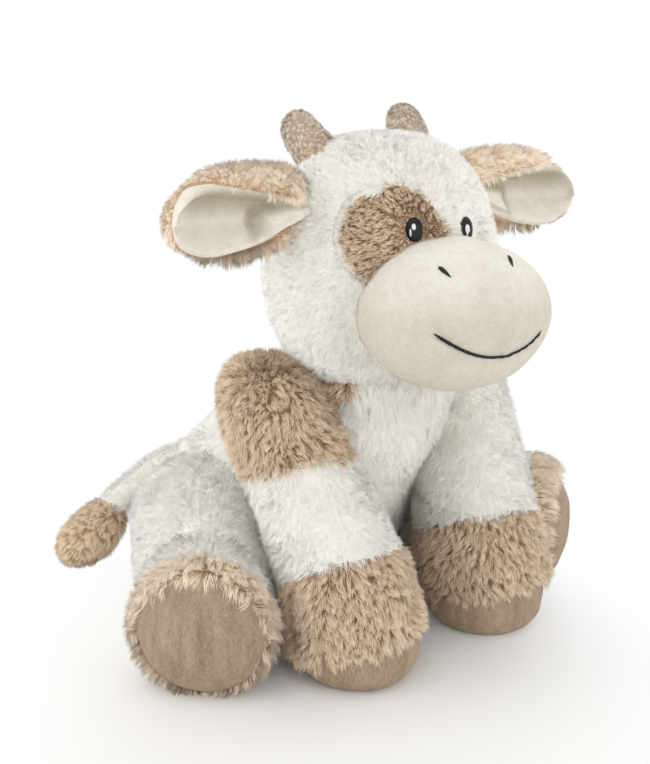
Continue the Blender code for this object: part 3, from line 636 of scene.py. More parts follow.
def strands(
    name, node, material, slot, groom, seed,
    density=1.3, length=0.009, spread=0.3, lay=0.8, clump=0.0040, gather=0.5, width=0.00036, droop=0.1,
    clearance=0.006, swirl=0.5, swirl_size=0.030, keep=None, length_at=None, skin=None, tree=None,
    tone=0.5, lowest=-1.0, airy=0.75,
):
    """Pile on a surface: slim tapered strands that lean along the groom and draw together in tufts."""
    rng = np.random.default_rng(seed)
    co, tri = skin or world_mesh(node)
    density = density * THIN
    points, normals = seeds(co, tri, density, rng, clearance, tree or ALL)
    if keep is not None:
        chosen = keep(points, normals)
        points, normals = points[chosen], normals[chosen]
    count = len(points)
    if not count:
        return
    centre_count = max(4, int(count / density / (clump * 1000) ** 2))
    centre_pick = rng.choice(count, min(centre_count, count), replace=False)
    which = nearest(points, points[centre_pick])
    wander = np.stack([waves(points, swirl_size, seed + k) for k in (1, 2, 3)], 1) * swirl

    def leaning(p, n, w):
        along = groom(p, n) + w
        along = along - (along * n).sum(1, keepdims=True) * n
        return unit(n + along * lay)

    # Tips, drawn towards the tip of the strand's tuft
    clump_turn = rng.normal(0, spread, (len(centre_pick), 3))
    scale = np.ones(count) if length_at is None else length_at(points)
    clump_length = length * rng.uniform(0.8, 1.1, len(centre_pick)) * scale[centre_pick]
    heading = unit(leaning(points[centre_pick], normals[centre_pick], wander[centre_pick]) + clump_turn)
    clump_tip = points[centre_pick] + heading * clump_length[:, None]
    stray = rng.normal(0, spread * 0.45, (count, 3))
    own = unit(leaning(points, normals, wander) + clump_turn[which] * 0.7 + stray)
    own_length = length * scale * rng.uniform(0.62, 1.08, count)
    tips = points + own * own_length[:, None]
    pull = gather * rng.uniform(0.45, 1.0, count)[:, None]
    tips = tips + (clump_tip[which] - tips) * pull
    tips[:, 2] -= droop * own_length
    inward = ((tips - points) * normals).sum(1, keepdims=True)
    tips += normals * np.maximum(LEAST_RISE - inward, 0)
    tips[:, 2] = np.maximum(tips[:, 2], TIP_FLOOR)

    # A ring of three points at the bend in the middle
    middle = points + normals * own_length[:, None] * 0.30 + (tips - points) * 0.36
    middle += rng.normal(0, 0.035, (count, 3)) * own_length[:, None]
    middle[:, 2] = np.maximum(middle[:, 2], MIDDLE_FLOOR)
    roots = points - normals * ROOT_DEPTH
    heading = unit(tips - roots)
    side = unit(np.cross(heading, rng.normal(0, 1, (count, 3))))
    other = np.cross(heading, side)
    half = (width / 2 * rng.uniform(0.7, 1.3, count))[:, None]
    turns = [math.tau * k / 3 for k in range(3)]
    ring = [side * math.cos(turn) + other * math.sin(turn) for turn in turns]
    verts = np.stack([roots, *(middle + r * half for r in ring), tips], 1)

    # Shading normals of the fleece as a whole, no lower than the lowest
    along = (heading * normals).sum(1, keepdims=True)
    facing = normals.copy()
    facing[:, 2] = np.maximum(facing[:, 2], lowest)
    fleece = unit(unit(facing) - heading * along * 0.45)
    shading = np.stack([fleece, *(unit(fleece + r * 0.22) for r in ring), fleece], 1)
    shade = np.clip(rng.random(count) * (1 - tone) + rng.random(len(centre_pick))[which] * tone, 0, 1)
    build_strands(name, verts, shading, shade, material, node, airy)


def build_strands(name, verts, shading, shade, material, node, airy):
    """Meshes of five-point strands: root, a ring of three, and tip. Light passes the airy share of them."""
    corners = np.array([[2, 1, 0], [3, 2, 0], [1, 3, 0], [1, 2, 4], [2, 3, 4], [3, 1, 4]])
    height = np.array([0.02, 0.5, 0.5, 0.5, 0.98])
    order = np.arange(len(verts))
    split = int(len(verts) * airy)
    groups = []
    for passes, group in ((True, order[:split]), (False, order[split:])):
        if len(group):
            pieces = math.ceil(len(group) / STRANDS_PER_PIECE)
            groups += [(passes, chosen) for chosen in np.array_split(group, pieces)]
    for part, (passes, chosen) in enumerate(groups):
        n = len(chosen)
        mesh = bpy.data.meshes.new(f"{name}_{part}")
        mesh.vertices.add(n * 5)
        mesh.vertices.foreach_set("co", verts[chosen].reshape(-1).astype(np.float32))
        index = ((np.arange(n) * 5)[:, None, None] + corners).reshape(-1)
        mesh.loops.add(n * 18)
        mesh.loops.foreach_set("vertex_index", index.astype(np.int32))
        mesh.polygons.add(n * 6)
        mesh.polygons.foreach_set("loop_start", (np.arange(n * 6) * 3).astype(np.int32))
        mesh.update(calc_edges=True)
        uv = np.empty((n, 18, 2))
        uv[:, :, 0] = shade[chosen][:, None] * 0.96 + 0.02
        uv[:, :, 1] = height[corners.reshape(-1)][None]
        layer = mesh.uv_layers.new(name="OFBake")
        layer.data.foreach_set("uv", uv.reshape(-1).astype(np.float32))
        mesh.shade_smooth()
        mesh.normals_split_custom_set_from_vertices(shading[chosen].reshape(-1, 3))
        mesh.materials.append(material)
        piece = stand_in(mesh.name, mesh, node)
        piece.visible_shadow = piece.visible_diffuse = not passes


# Which way the pile is combed, and how long it is


def flow(x, y, z):
    return lambda p, n: np.tile([x, y, z], (len(p), 1))


def head_groom(p, n):
    """Away from the muzzle, then round to the back and down."""
    out = p - np.array([0.0, -0.162, 0.240])
    out[:, 2] *= 0.6
    return unit(out) + np.array([0.0, 0.25, -0.55])


def hind_groom(side):
    _, forward, _ = hind_frame(side)
    return flow(forward.x, forward.y, -0.30)


def hind_run(p, side):
    hip, forward, _ = hind_frame(side)
    return (p - np.array(hip)) @ np.array(forward)


def hind_cuff_groom(side):
    """Forward, and at the top over the sole's upper edge."""
    forward = np.array(hind_frame(side)[1])

    def groom(p, n):
        rim = step(HIND_RUN[1] - 0.045, HIND_RUN[1] - 0.012, hind_run(p, side))[:, None]
        top = step(0.055, 0.080, p[:, 2])[:, None]
        ahead = forward * (1.1 + 0.5 * rim * top)
        fanned = n * 0.5 * rim * (1 - top)
        return ahead + fanned + np.array([0, 0, -0.30]) * (1 - rim) + np.array([0, 0, -1.3]) * rim * top

    return groom


def hind_cuff_length(side):
    def length_at(p):
        rim = step(HIND_RUN[1] - 0.040, HIND_RUN[1] - 0.012, hind_run(p, side))
        return 1.0 + 0.12 * rim * step(0.004, 0.020, p[:, 2])

    return length_at


def round_eyes(p):
    """Shorter pile round the eyes, so that it does not fall over them."""
    length = np.ones(len(p))
    for name, side in SIDES:
        x, z = p[:, 0] - EYE_X * side, p[:, 2] - HEAD_BASE.z - EYE_RISE[name]
        ring = np.sqrt((x / EYE_SIZES[0]) ** 2 + (z / EYE_SIZES[1]) ** 2)
        length *= np.where(p[:, 1] < HEAD_BASE.y, 0.30 + 0.70 * step(1.0, 2.3, ring), 1)
    return length


def seen_at(p):
    """Where the photograph's camera sees points, in its pixels."""
    ahead = unit(CAMERA_AIM - CAMERA_PLACE)
    right = unit(np.cross(ahead, [0, 0, 1]))
    d = p - CAMERA_PLACE
    away = d @ ahead
    x, y = IMAGE_MIDDLE
    return np.stack([x + FOCAL * (d @ right) / away, y - FOCAL * (d @ np.cross(right, ahead)) / away], 1)


def left_back(p):
    """Longer pile on the haunch and back, where the tail leaves them."""
    x, y = seen_at(p).T
    return 1 + 0.7 * step(222, 196, x) * step(410, 440, y) * step(545, 505, y) * (p[:, 0] < 0)


def near_gap(p):
    """Longer pile where the shoulder, neck and body meet under the head."""
    x, y = seen_at(p).T
    return 1 + 0.7 * (step(290, 312, x) * step(378, 362, x) * step(425, 405, y) * (y > 335))


def back_and_gap(p):
    return near_gap(p) * left_back(p)


# Where the colours meet


def faces_camera(p, n):
    return ((CAMERA_PLACE - p) * n).sum(1) > 0


def rough_edge(p, seed, other):
    return waves(p, 0.011, seed) + 0.7 * waves(p, 0.005, other)


def within(edge, p, n, ragged=2.2):
    """Whether points lie inside an outline, on the side that the camera sees."""
    x, y = (seen_at(p) + np.stack([rough_edge(p, 51, 53), waves(p, 0.011, 52)], 1) * ragged).T
    inside = np.zeros(len(p), bool)
    for (x0, y0), (x1, y1) in zip(edge, edge[1:] + edge[:1]):
        if y0 != y1:
            inside ^= ((y0 > y) != (y1 > y)) & (x < (x1 - x0) * (y - y0) / (y1 - y0) + x0)
    return inside & faces_camera(p, n)


def over_plane(p, name, plane, ragged=0.0012):
    """Height of points above a sloping plane through a front leg."""
    height, aside, ahead = plane
    side = dict(SIDES)[name]
    x = p[:, 0] * side - (FRONT_SHOULDER[0] + FRONT_FOOT[name][0]) / 2
    y = p[:, 1] - (FRONT_SHOULDER[1] * 0.3 + FRONT_FOOT[name][1] * 0.7)
    return p[:, 2] - (height + x * aside + y * ahead) + rough_edge(p, 61, 62) * ragged


def head_tan(p, n):
    return within(EYE_PATCH_EDGE, p, n, 1.5)


def shoulder_tan(p, n):
    """The panel on the shoulder, all tan where the camera does not see it."""
    return np.where(faces_camera(p, n), within(SHOULDER_EDGE, p, n), True)


def corner_tan(p, n):
    """The panel's corner that lies on the body and neck under the head."""
    return within(SHOULDER_EDGE, p, n) & (p[:, 1] < FRONT_SHOULDER[1] + 0.022) & (p[:, 0] < -0.012)


def front_tan(name):
    def tan(p, n):
        cuff = over_plane(p, name, CUFF_TOP[name]) < 0
        return cuff | within(SHOULDER_EDGE, p, n) if name == "right" else cuff

    return tan


def hind_tan(side):
    return lambda p, n: hind_run(p, side) + 0.0015 * waves(p, 0.011, 63) > HIND_SEAM


# Covers: skins, backings and pile


def colour_faces(piece, tan, own=False):
    """Give a skin's faces white or tan, by where they are."""
    mesh = piece.data
    mesh.materials.append(WHITE_SKIN if own else TAN_SKIN)
    centres = np.array([f.center for f in mesh.polygons])
    normals = np.array([f.normal for f in mesh.polygons])
    mesh.polygons.foreach_set("material_index", (tan(centres, normals) != own).astype(np.int32))


def under_skin(name, bm, node, tan, depth=0.0012):
    """One whole skin just under the covers of a form, seen only between their piles."""
    move_points(bm, lambda p, n: -depth * n)
    rest_on_floor(bm)
    colour_faces(put(name, bm, WHITE_SKIN, node), tan)


def backing(node, material, finer):
    """The woven backing that the pile stands in, with the solid's own faces or finer ones."""
    bm = bmesh.new()
    bm.from_mesh(NODES[node].data)
    bmesh.ops.remove_doubles(bm, verts=bm.verts, dist=1e-6)
    if finer:
        bmesh.ops.triangulate(bm, faces=bm.faces)
        bmesh.ops.subdivide_edges(bm, edges=bm.edges, cuts=finer, use_grid_fill=True)
    bmesh.ops.recalc_face_normals(bm, faces=bm.faces)
    for face in bm.faces:
        face.material_index = 0
    return put(f"{node}_backing", bm, material, node)


PLUSH = dict(
    density=1.9, length=0.0082, clump=0.0021, spread=0.30, lay=0.55, gather=0.38, width=0.00029, swirl=0.65
)
TAN_PILE = dict(
    density=2.5, length=0.0100, clump=0.0023, spread=0.27, lay=0.52, gather=0.50, width=0.00029,
    swirl=0.55, tone=0.55, airy=0.6,
)
HEAD_WHITE = dict(density=1.9, length=0.0058, clump=0.0025, lay=0.45, length_at=round_eyes)
HEAD_TAN = dict(
    density=2.8, length=0.0070, clump=0.0019, spread=0.24, lay=0.62, gather=0.50, width=0.00030,
    swirl=0.8, airy=0.40, length_at=round_eyes,
)
NECK = dict(clearance=0.0025, lowest=0.05)


def coat(
    node, groom, seed, tan=None, white_more=None, tan_more=None, keep=None, tan_strands=TAN_STRANDS
):
    """Backing and pile of one cover, in white, in tan, or in both with an edge between them."""
    own = not node.endswith(("_cover", "_cushion"))
    is_tan = tan or (lambda p, n: np.full(len(p), own))
    piece = backing(node, TAN_SKIN if own else WHITE_SKIN, 3 if tan else 0)
    if tan:
        colour_faces(piece, tan, own)
    for colour, material, pile in (
        ("white", WHITE_STRANDS, {**PLUSH, **(white_more or {})}),
        ("tan", tan_strands, {**TAN_PILE, **(tan_more or {})}),
    ):
        wanted = colour == "tan"
        if tan or wanted == own:

            def chosen(p, n, wanted=wanted):
                right = is_tan(p, n) == wanted
                return right if keep is None else right & keep(p, n)

            pile_name, slot = f"{node}_{colour}_pile", f"{colour}_plush"
            strands(pile_name, node, material, slot, groom, seed, keep=chosen, **pile)


body_more = dict(length_at=back_and_gap)
coat("body_cover", flow(0, 0.12, -1.0), 11, corner_tan, body_more, body_more)
neck_white, neck_tan = dict(length=0.0125, droop=0.35, **NECK), dict(length=0.0140, **NECK)
coat("neck_cushion", flow(0, 0, -1.0), 12, corner_tan, neck_white, neck_tan)
coat("head_cover", head_groom, 13, head_tan, HEAD_WHITE, HEAD_TAN)
coat("eye_patch_right", head_groom, 14, head_tan, HEAD_WHITE, HEAD_TAN)
coat("shoulder_patch_right", flow(0.10, -0.35, -1.0), 31, shoulder_tan)
TAIL_FLOW = flow(-0.85, -0.10, -0.30)
coat("tail_cover", TAIL_FLOW, 32, white_more=dict(length=0.0065, density=2.4, airy=0.85))
coat("tail_tuft", TAIL_FLOW, 33, tan_more=dict(length=0.0085, density=3.2, lay=0.9, airy=0.95))


def dress_legs(name, side, seed):
    """Covers and cuffs of a front and a hind leg, over a skin that closes their seams."""

    def above_hem(p, n):
        return over_plane(p, name, HEM[name], 0.0016) > 0

    front, hind = f"front_leg_{name}", f"hind_leg_{name}"
    tan, legs_down = front_tan(name), flow(0, -0.35, -1.0)
    coat(f"{front}_cover", legs_down, seed + 1, tan)
    coat(f"{front}_cuff", legs_down, seed + 2, tan, keep=above_hem, tan_more=dict(length=0.0105))
    for form, leg, is_tan in (("front", front, tan), ("hind", hind, hind_tan(side))):
        skin = smooth_form(oval_rings(form, name, side), 8, 3)
        under_skin(f"{leg}_under_skin", skin, f"{leg}_cover", is_tan)
    tan, cuff = hind_tan(side), dict(length_at=hind_cuff_length(side), airy=0.8)
    coat(f"{hind}_cover", hind_groom(side), seed + 11, tan, dict(length_at=left_back, airy=0.92))
    coat(f"{hind}_cuff", hind_cuff_groom(side), seed + 12, tan, tan_more=cuff, tan_strands=PALE_TAN_STRANDS)


for side_name, side in SIDES:
    dress_legs(side_name, side, 100 if side < 0 else 200)


# Soles and horns

HEAD_FORM = smooth_form(oval_rings("head"), 12, 3)
HEAD_TREE = BVHTree.FromBMesh(HEAD_FORM)
under_skin("head_under_skin", HEAD_FORM.copy(), "head_cover", head_tan)


def sole(form, name, side, point, normal, shift):
    """The pad of a sole: the part of a leg's form ahead of a plane, puffed out."""
    bm = smooth_form(oval_rings(form, name, side), 8, 4)
    keep_ahead(bm, point, normal)
    move_points(bm, shift)
    rest_on_floor(bm)
    node = f"{form}_leg_{name}_sole"
    put(f"{node}_pad", bm, TAUPE, node)


def front_sole(name, side):
    x, y = FRONT_FOOT[name]
    rise, aside, ahead = HEM[name]

    def shift(p, n):
        puff = 0.0016 * step(0.001, 0.012, p[:, 2])
        return n * (puff + waves(p, 0.020, 5 + side) * 0.0003)[:, None]

    under_hem = Vector((x * side, y, rise + 0.009))
    sole("front", name, side, under_hem, Vector((aside * side, ahead, -1)), shift)


def hind_sole(name, side):
    hip, forward, outward = hind_frame(side)
    middle = np.array(hip + forward * HIND_RUN[1] + Vector((0, 0, HIND_SIZES[1] * 0.76)))

    def shift(p, n):
        away = p - middle
        radius = np.sqrt((away @ np.array(outward)) ** 2 + away[:, 2] ** 2)
        dome = 0.0040 * (1 - step(0.004, 0.036, radius))
        return np.array(forward) * (dome + waves(p, 0.022, 9 + side) * 0.0004)[:, None]

    sole("hind", name, side, hip + forward * (HIND_RUN[1] - HIND_SOLE - 0.005), forward, shift)


def horn(name, side):
    bm = smooth_form(oval_rings("horn", name, side), 6, 4)
    drop_hidden(bm, HEAD_TREE)
    node = f"horn_{name}_cover"
    skin = arrays_of(bm)
    put(f"horn_{name}_skin", bm, HORN, node)
    root, tip = HORN_ROUTE[0], HORN_ROUTE[2]
    along = Vector(((tip.x - root.x) * side, tip.y - root.y, tip.z - root.z)).normalized()
    above = solids_tree((node, f"horn_{name}_filling"))
    strands(
        f"{node}_pile", node, HORN_STRANDS, "taupe_velour", flow(*-along), 300 + side,
        density=6.0, length=0.0030, clump=0.0017, spread=0.30, lay=0.55, gather=0.55, width=0.00030,
        droop=0.0, clearance=0.002, swirl_size=0.012, skin=skin, tree=above, tone=0.6, airy=0.9,
    )


# Ears

# The lining's upper and lower outline: place along the ear, share of the ear's half height
EAR_TOP = ((0.00, -0.02), (0.12, 0.16), (0.30, 0.40), (0.50, 0.62), (0.70, 0.80), (0.85, 0.90), (1.05, 0.92))
EAR_BOTTOM = (
    (0.00, -0.30), (0.12, -0.50), (0.30, -0.80), (0.50, -0.93), (0.70, -0.96), (0.85, -0.94), (1.05, -0.94)
)
EAR_END = 0.985
EAR_PILE = {
    **TAN_PILE, "density": 3.6, "length": 0.0080, "clump": 0.0021, "lay": 0.70, "gather": 0.40,
    "width": 0.00028, "clearance": 0.004, "airy": 0.95,
}


def ear_shape(a):
    """Middle and half height of the lining's outline, and the depth of its rim, along the ear."""
    top = np.interp(a, *zip(*EAR_TOP))
    bottom = np.interp(a, *zip(*EAR_BOTTOM))
    closing = np.sqrt(np.clip(1 - (np.clip(a - 0.66, 0, None) / (EAR_END - 0.66)) ** 2, 0, 1))
    middle = (top + bottom) / 2 * (0.3 + 0.7 * closing)
    half = (top - bottom) / 2 * closing
    share = np.interp(a, *zip(*((s[0], s[2]) for s in EAR_SHARES)))
    return middle * EAR_HALF_HEIGHT, half * EAR_HALF_HEIGHT, (0.45 + 0.55 * share) * EAR_HALF_THICKNESS


def ear_depth(a, c):
    """How far the lining stands towards the front at a place along and across the ear."""
    _, half, rim = ear_shape(a)
    wall = np.clip((np.abs(c) - 0.76) / 0.24, 0, 1)
    crest = rim * np.sqrt(np.clip(1 - wall**2, 0, 1))
    hollow = np.minimum(0.0135, half * 0.72) * step(0.86, 0.50, c) * step(-0.96, -0.05, c)
    crest = crest * (1 + 0.12 * step(0.5, 0.8, c) - 0.20 * step(-0.3, -0.8, c))
    lobe = 0.0075 * step(0.40, 0.30, a) * step(0.62, 0.02, c) * step(0.80, 0.55, np.abs(c))
    crease = 0.0022 * hump(a - 0.405 + 0.05 * c, 0.020) * step(0.7, 0.2, np.abs(c))
    return crest - hollow + lobe - crease


def ear(name, side):
    root, tip = on_head(side, EAR_ROOT, EAR_TIP[name])
    root_np, axis = np.array(root), np.array(tip - root)
    length = np.linalg.norm(axis)
    steps_along, steps_across = 64, 56
    c = np.cos(math.pi * np.arange(steps_across + 1) / steps_across)
    bm = bmesh.new()
    rows = []
    for i in range(steps_along + 1):
        a = EAR_END * (0.02 + 0.98 * i / steps_along)
        middle, half, _ = ear_shape(a)
        centre = root_np + axis * a
        depth = ear_depth(np.full(len(c), a), c) + 0.0003 * np.sin(a * 31 + c * 5)
        front = [(centre[0], centre[1] - d, centre[2] + middle + half * t) for d, t in zip(depth, c)]
        rear = [(x, y + 0.0012, centre[2] + middle + half * t * 0.97) for (x, y, _), t in zip(front, c)]
        rows.append([bm.verts.new(v) for v in front + rear[::-1]])
    close_loops(bm, rows, merged=1e-6)
    lining, back = f"ear_{name}_lining", f"ear_{name}_back"
    cup = put(f"{lining}_cup", bm, LINING, lining)

    def place(p):
        """Where points lie along and across the ear, how far forward the lining is, and if it covers."""
        a = (p - root_np) @ axis / length**2
        middle, half, _ = ear_shape(a)
        c = (p[:, 2] - (root_np[2] + axis[2] * a) - middle) / np.maximum(half, 1e-5)
        return a, c, root_np[1] + axis[1] * a - ear_depth(a, c), (a < EAR_END) & (a > 0.02)

    a, c, _, _ = place(np.array([v.co for v in cup.data.vertices]))
    # Painted shade under the lining's upper rim and in the crook by its fold, kept as the "hollow" attribute
    # that darkens the lining
    painted_shade_under_rim = step(1.0, 0.80, c) * step(-0.25, 0.55, c) * step(0.98, 0.78, a) * step(0.10, 0.30, a)
    painted_shade_in_crook = 0.8 * hump(a - 0.39 + 0.05 * c, 0.045) * step(0.6, 0.1, c) * step(-0.9, -0.6, c)
    shade = cup.data.attributes.new("hollow", "FLOAT", "POINT")
    shade.data.foreach_set("value", np.clip(painted_shade_under_rim + painted_shade_in_crook, 0, 1).astype(np.float32))

    def sink(p, n):
        """Press the ear's back in behind the lining."""
        a, c, lining_y, inside = place(p)
        front = p[:, 1] < root_np[1] + axis[1] * a + 0.002
        shift = np.zeros_like(p)
        covered = front & inside & (np.abs(c) < 0.97)
        shift[:, 1] = np.where(covered, np.maximum(lining_y + 0.0020 - p[:, 1], 0), 0)
        return shift

    def uncovered(p, n):
        a, c, lining_y, inside = place(p)
        behind = (p[:, 1] < lining_y + 0.007) & (n[:, 1] < 0.35)
        return ~(behind & (np.abs(c) < 1.0) & inside)

    def fringe(p):
        a, c, _, _ = place(p)
        tip = step(0.62, 0.90, a)
        return 1.0 + 0.25 * step(-0.7, -1.0, c) * (1 - tip) - 0.50 * tip

    shell = smooth_form(oval_rings("ear", name, side), 10, 3)
    move_points(shell, sink)
    skin = arrays_of(shell)
    put(f"{back}_skin", shell, EAR_SKIN, back)
    strands(
        f"{back}_pile", back, PALE_TAN_STRANDS, "tan_plush", flow(side * 0.55, -0.25, -0.45), 400 + side,
        **EAR_PILE, skin=skin, tree=solids_tree((lining, back)), keep=uncovered, length_at=fringe,
    )


for side_name, side in SIDES:
    for make in (front_sole, hind_sole, horn, ear):
        make(side_name, side)

# Muzzle, stitches and eyes


def on_form(tree, x, z):
    place, normal, _, _ = tree.ray_cast(HEAD_BASE + Vector((x, -0.5, z)), Vector((0, 1, 0)))
    return place, normal


def mouth_points(tree, count):
    half, aside, rise, sag, skew = MOUTH
    shares = [2 * k / (count - 1) - 1 for k in range(count)]
    return [on_form(tree, t * half - aside, rise - sag * (1 - t * t) - t * skew)[0] for t in shares]


PLAIN_MUZZLE = smooth_form(oval_rings("muzzle"), 12, 4)
PLAIN_TREE = BVHTree.FromBMesh(PLAIN_MUZZLE)
MOUTH_LINE = np.array(mouth_points(PLAIN_TREE, 60))
NOSTRILS = [np.array(on_form(PLAIN_TREE, NOSTRIL[0] * s, NOSTRIL[1])[0]) for s in (-1, 1)]
DEEPEST_DENT = 0.0018


def muzzle_shift(p, n):
    """Dents under the stitches, the soft upright fold on the front, and slight lumps of the stuffing."""
    to_mouth = np.sqrt(((p[:, None] - MOUTH_LINE[None]) ** 2).sum(2)).min(1)
    out = -0.0014 * hump(to_mouth, 0.0030) - 0.0008 * hump(to_mouth, 0.009)
    for end in (MOUTH_LINE[0], MOUTH_LINE[-1]):
        out -= 0.0009 * hump(np.linalg.norm(p - end, axis=1), 0.005)
    for place in NOSTRILS:
        away = np.linalg.norm(p - place, axis=1)
        out -= 0.0016 * hump(away, 0.0055) + 0.0006 * hump(away, 0.014)
    rise = p[:, 2] - HEAD_BASE.z
    fold_x = 0.004 + 0.009 * np.clip((rise - 0.048) / 0.036, 0, 1)
    ahead = step(-0.180, -0.200, p[:, 1]) * step(0.098, 0.080, rise) * step(0.034, 0.046, rise)
    out += 0.0028 * hump(p[:, 0] - fold_x, 0.0042) * ahead
    out -= 0.0020 * hump(p[:, 0] - fold_x + 0.014, 0.009) * ahead
    out += waves(p, 0.050, 77) * 0.0005
    return n * np.maximum(out, -DEEPEST_DENT)[:, None]


muzzle = PLAIN_MUZZLE.copy()
move_points(muzzle, muzzle_shift)
MUZZLE_TREE = BVHTree.FromBMesh(muzzle)
drop_hidden(muzzle, HEAD_TREE)
put("muzzle_pad", muzzle, CREAM, "muzzle_cover")


def heading_at(route, k):
    return (route[min(k + 1, len(route) - 1)] - route[max(k - 1, 0)]).normalized()


def tube(route, radii, sides=8):
    """A closed round thread along points, with a radius at each."""
    verts, faces = [], []
    for k, (point, radius) in enumerate(zip(route, radii)):
        ahead = heading_at(route, k)
        across = ahead.cross(Vector((0.1, -0.9, 0.3))).normalized()
        up = across.cross(ahead).normalized()
        for j in range(sides):
            a = math.tau * j / sides
            verts.append(tuple(point + (across * math.cos(a) + up * math.sin(a)) * radius))
    for k in range(len(route) - 1):
        for j in range(sides):
            n = (j + 1) % sides
            faces.append((k * sides + j, k * sides + n, (k + 1) * sides + n, (k + 1) * sides + j))
    faces.append(tuple(range(sides))[::-1])
    faces.append(tuple((len(route) - 1) * sides + j for j in range(sides)))
    return verts, faces


def joined(parts):
    verts, faces = [], []
    for v, f in parts:
        faces += [tuple(i + len(verts) for i in face) for face in f]
        verts += v
    return verts, [], faces


def mouth():
    """Two plies of yarn twisted round each other, thicker at the near end, in short sewn stitches."""
    line = mouth_points(MUZZLE_TREE, 320)
    plies = []
    for ply in (0, 1):
        route, radii = [], []
        travelled = 0.0
        for k, point in enumerate(line):
            if k:
                travelled += (point - line[k - 1]).length
            share = k / (len(line) - 1)
            size = 0.00062 - 0.00024 * share
            size *= min(1.0, 0.35 + 14 * share, 0.35 + 14 * (1 - share))
            _, normal, _, _ = MUZZLE_TREE.find_nearest(point)
            across = heading_at(line, k).cross(normal).normalized()
            turn = math.tau * travelled / 0.0036 + ply * math.pi
            stitch = abs(math.sin(math.pi * travelled / 0.0062))
            stand = 0.00020 + 0.00055 * stitch**0.5
            outward = normal * (stand + math.cos(turn) * size * 0.55)
            route.append(point + outward + across * math.sin(turn) * size * 0.8)
            radii.append(size * (0.72 + 0.28 * stitch**0.4))
        plies.append(tube(route, radii))
    put("mouth_yarn", joined(plies), BLACK_YARN, "mouth_stitch")


def nostril(name, side):
    """Three satin threads that fan out from one end."""
    place, normal = on_form(MUZZLE_TREE, NOSTRIL[0] * side, NOSTRIL[1])
    up = (Vector((0, 0, 1)) - normal * normal.z).normalized()
    across = normal.cross(up).normalized()
    slant = math.radians(38) * side
    along = up * math.cos(slant) - across * math.sin(slant)
    aside = normal.cross(along).normalized()
    threads = []
    for offset, low, high in ((-0.0009, -0.0030, 0.0038), (0.0, -0.0044, 0.0046), (0.0009, -0.0034, 0.0040)):
        route, radii = [], []
        for i in range(15):
            t = i / 14
            spot = place + along * (low + (high - low) * t) + aside * offset * (0.25 + 0.75 * t)
            near, direction, _, _ = MUZZLE_TREE.find_nearest(spot)
            route.append(near + direction * (0.00055 * math.sin(math.pi * t) ** 0.5 - 0.0002))
            radii.append(0.00062 * (0.45 + 0.55 * math.sin(math.pi * min(max(t, 0.06), 0.94)) ** 0.5))
        threads.append(tube(route, radii))
    put(f"nostril_{name}_threads", joined(threads), BLACK_YARN, f"nostril_{name}")


# Centre and half sizes of the white highlight stitches on each eye
HIGHLIGHTS = {"right": ((-0.0012, 0.0016), (0.0012, 0.0018)), "left": ((-0.0018, -0.0002), (0.0017, 0.0026))}
# Centre and half sizes of the glint on each eye: a painted reflection, drawn as white satin at the eye's edge
GLINTS = {"right": ((-0.0032, -0.0014), (0.0005, 0.0022)), "left": ((-0.0024, -0.0036), (0.0005, 0.0022))}


def eye(name, side):
    """An embroidered oval, a little domed, with a white highlight sewn on it and a glint at its edge, a
    painted reflection.
    """
    place, normal = on_form(HEAD_TREE, EYE_X * side, EYE_RISE[name])
    turn = normal.to_track_quat("Z", "Y").to_matrix()
    half_x, half_y, bulge = EYE_SIZES
    node = f"eye_{name}"

    def dome(x, y):
        inside = max(0.0, 1 - (x / half_x) ** 2 - (y / half_y) ** 2)
        return bulge * inside**0.45 + 0.00007 * math.sin(x / 0.00042 * math.pi) * min(1, inside * 4)

    def patch(label, centre, halves, raised, rings, around, skirt, material):
        bm = bmesh.new()
        rows = []
        for i in range(rings + 1):
            r = i / rings
            row = []
            for j in range(around):
                a = math.tau * j / around
                x = centre[0] + halves[0] * r * math.cos(a)
                y = centre[1] + halves[1] * r * math.sin(a)
                row.append(bm.verts.new(place + turn @ Vector((x, y, dome(x, y) + raised * (1 - r**6)))))
            rows.append(row)
        rows.append([bm.verts.new(v.co - turn @ Vector((0, 0, skirt))) for v in rows[-1]])
        close_loops(bm, rows, ends=(-1,), merged=1e-7)
        put(f"{node}_{label}", bm, material, node)

    patch("satin", (0, 0), (half_x, half_y), 0.0, 14, 48, 0.0025, BLACK_SATIN)
    patch("highlight", *HIGHLIGHTS[name], 0.00035, 6, 24, 0.0004, WHITE_SATIN)
    # The glint: a painted reflection in white satin
    patch("glint", *GLINTS[name], 0.0002, 4, 16, 0.0003, WHITE_SATIN)


mouth()
for side_name, side in SIDES:
    nostril(side_name, side)
    eye(side_name, side)

# Floor, light and camera

# The floor's colour for the rays that light things, and the darker colour that the camera sees near the cow,
# fading to plain white further off: painted shade round the real shadows that the floor catches
FLOOR_LIT = (0.94, 0.925, 0.91, 1)
FLOOR_SEEN = (0.82, 0.812, 0.797, 1)
FADE_CENTRE = (0.08, 0.17, 0)
FADE = {"From Min": 0.09, "From Max": 0.26}
SKY = {"To Min": 0.97, "To Max": 1.0}

floor_mesh = bpy.data.meshes.new("floor")
bm = bmesh.new()
bmesh.ops.create_grid(bm, x_segments=1, y_segments=1, size=30)
bm.to_mesh(floor_mesh)
bm.free()
floor = add_object("floor", floor_mesh)


def seen_directly(tree):
    """1 for camera, glossy and transmission rays, 0 for the rays that light things."""
    ray = add_node(tree, "ShaderNodeLightPath")
    most, most_too = (add_node(tree, "ShaderNodeMath", operation="MAXIMUM") for _ in range(2))
    wire(
        tree,
        (ray, "Is Camera Ray", most, 0),
        (ray, "Is Glossy Ray", most, 1),
        (most, "Value", most_too, 0),
        (ray, "Is Transmission Ray", most_too, 1),
    )
    return most_too


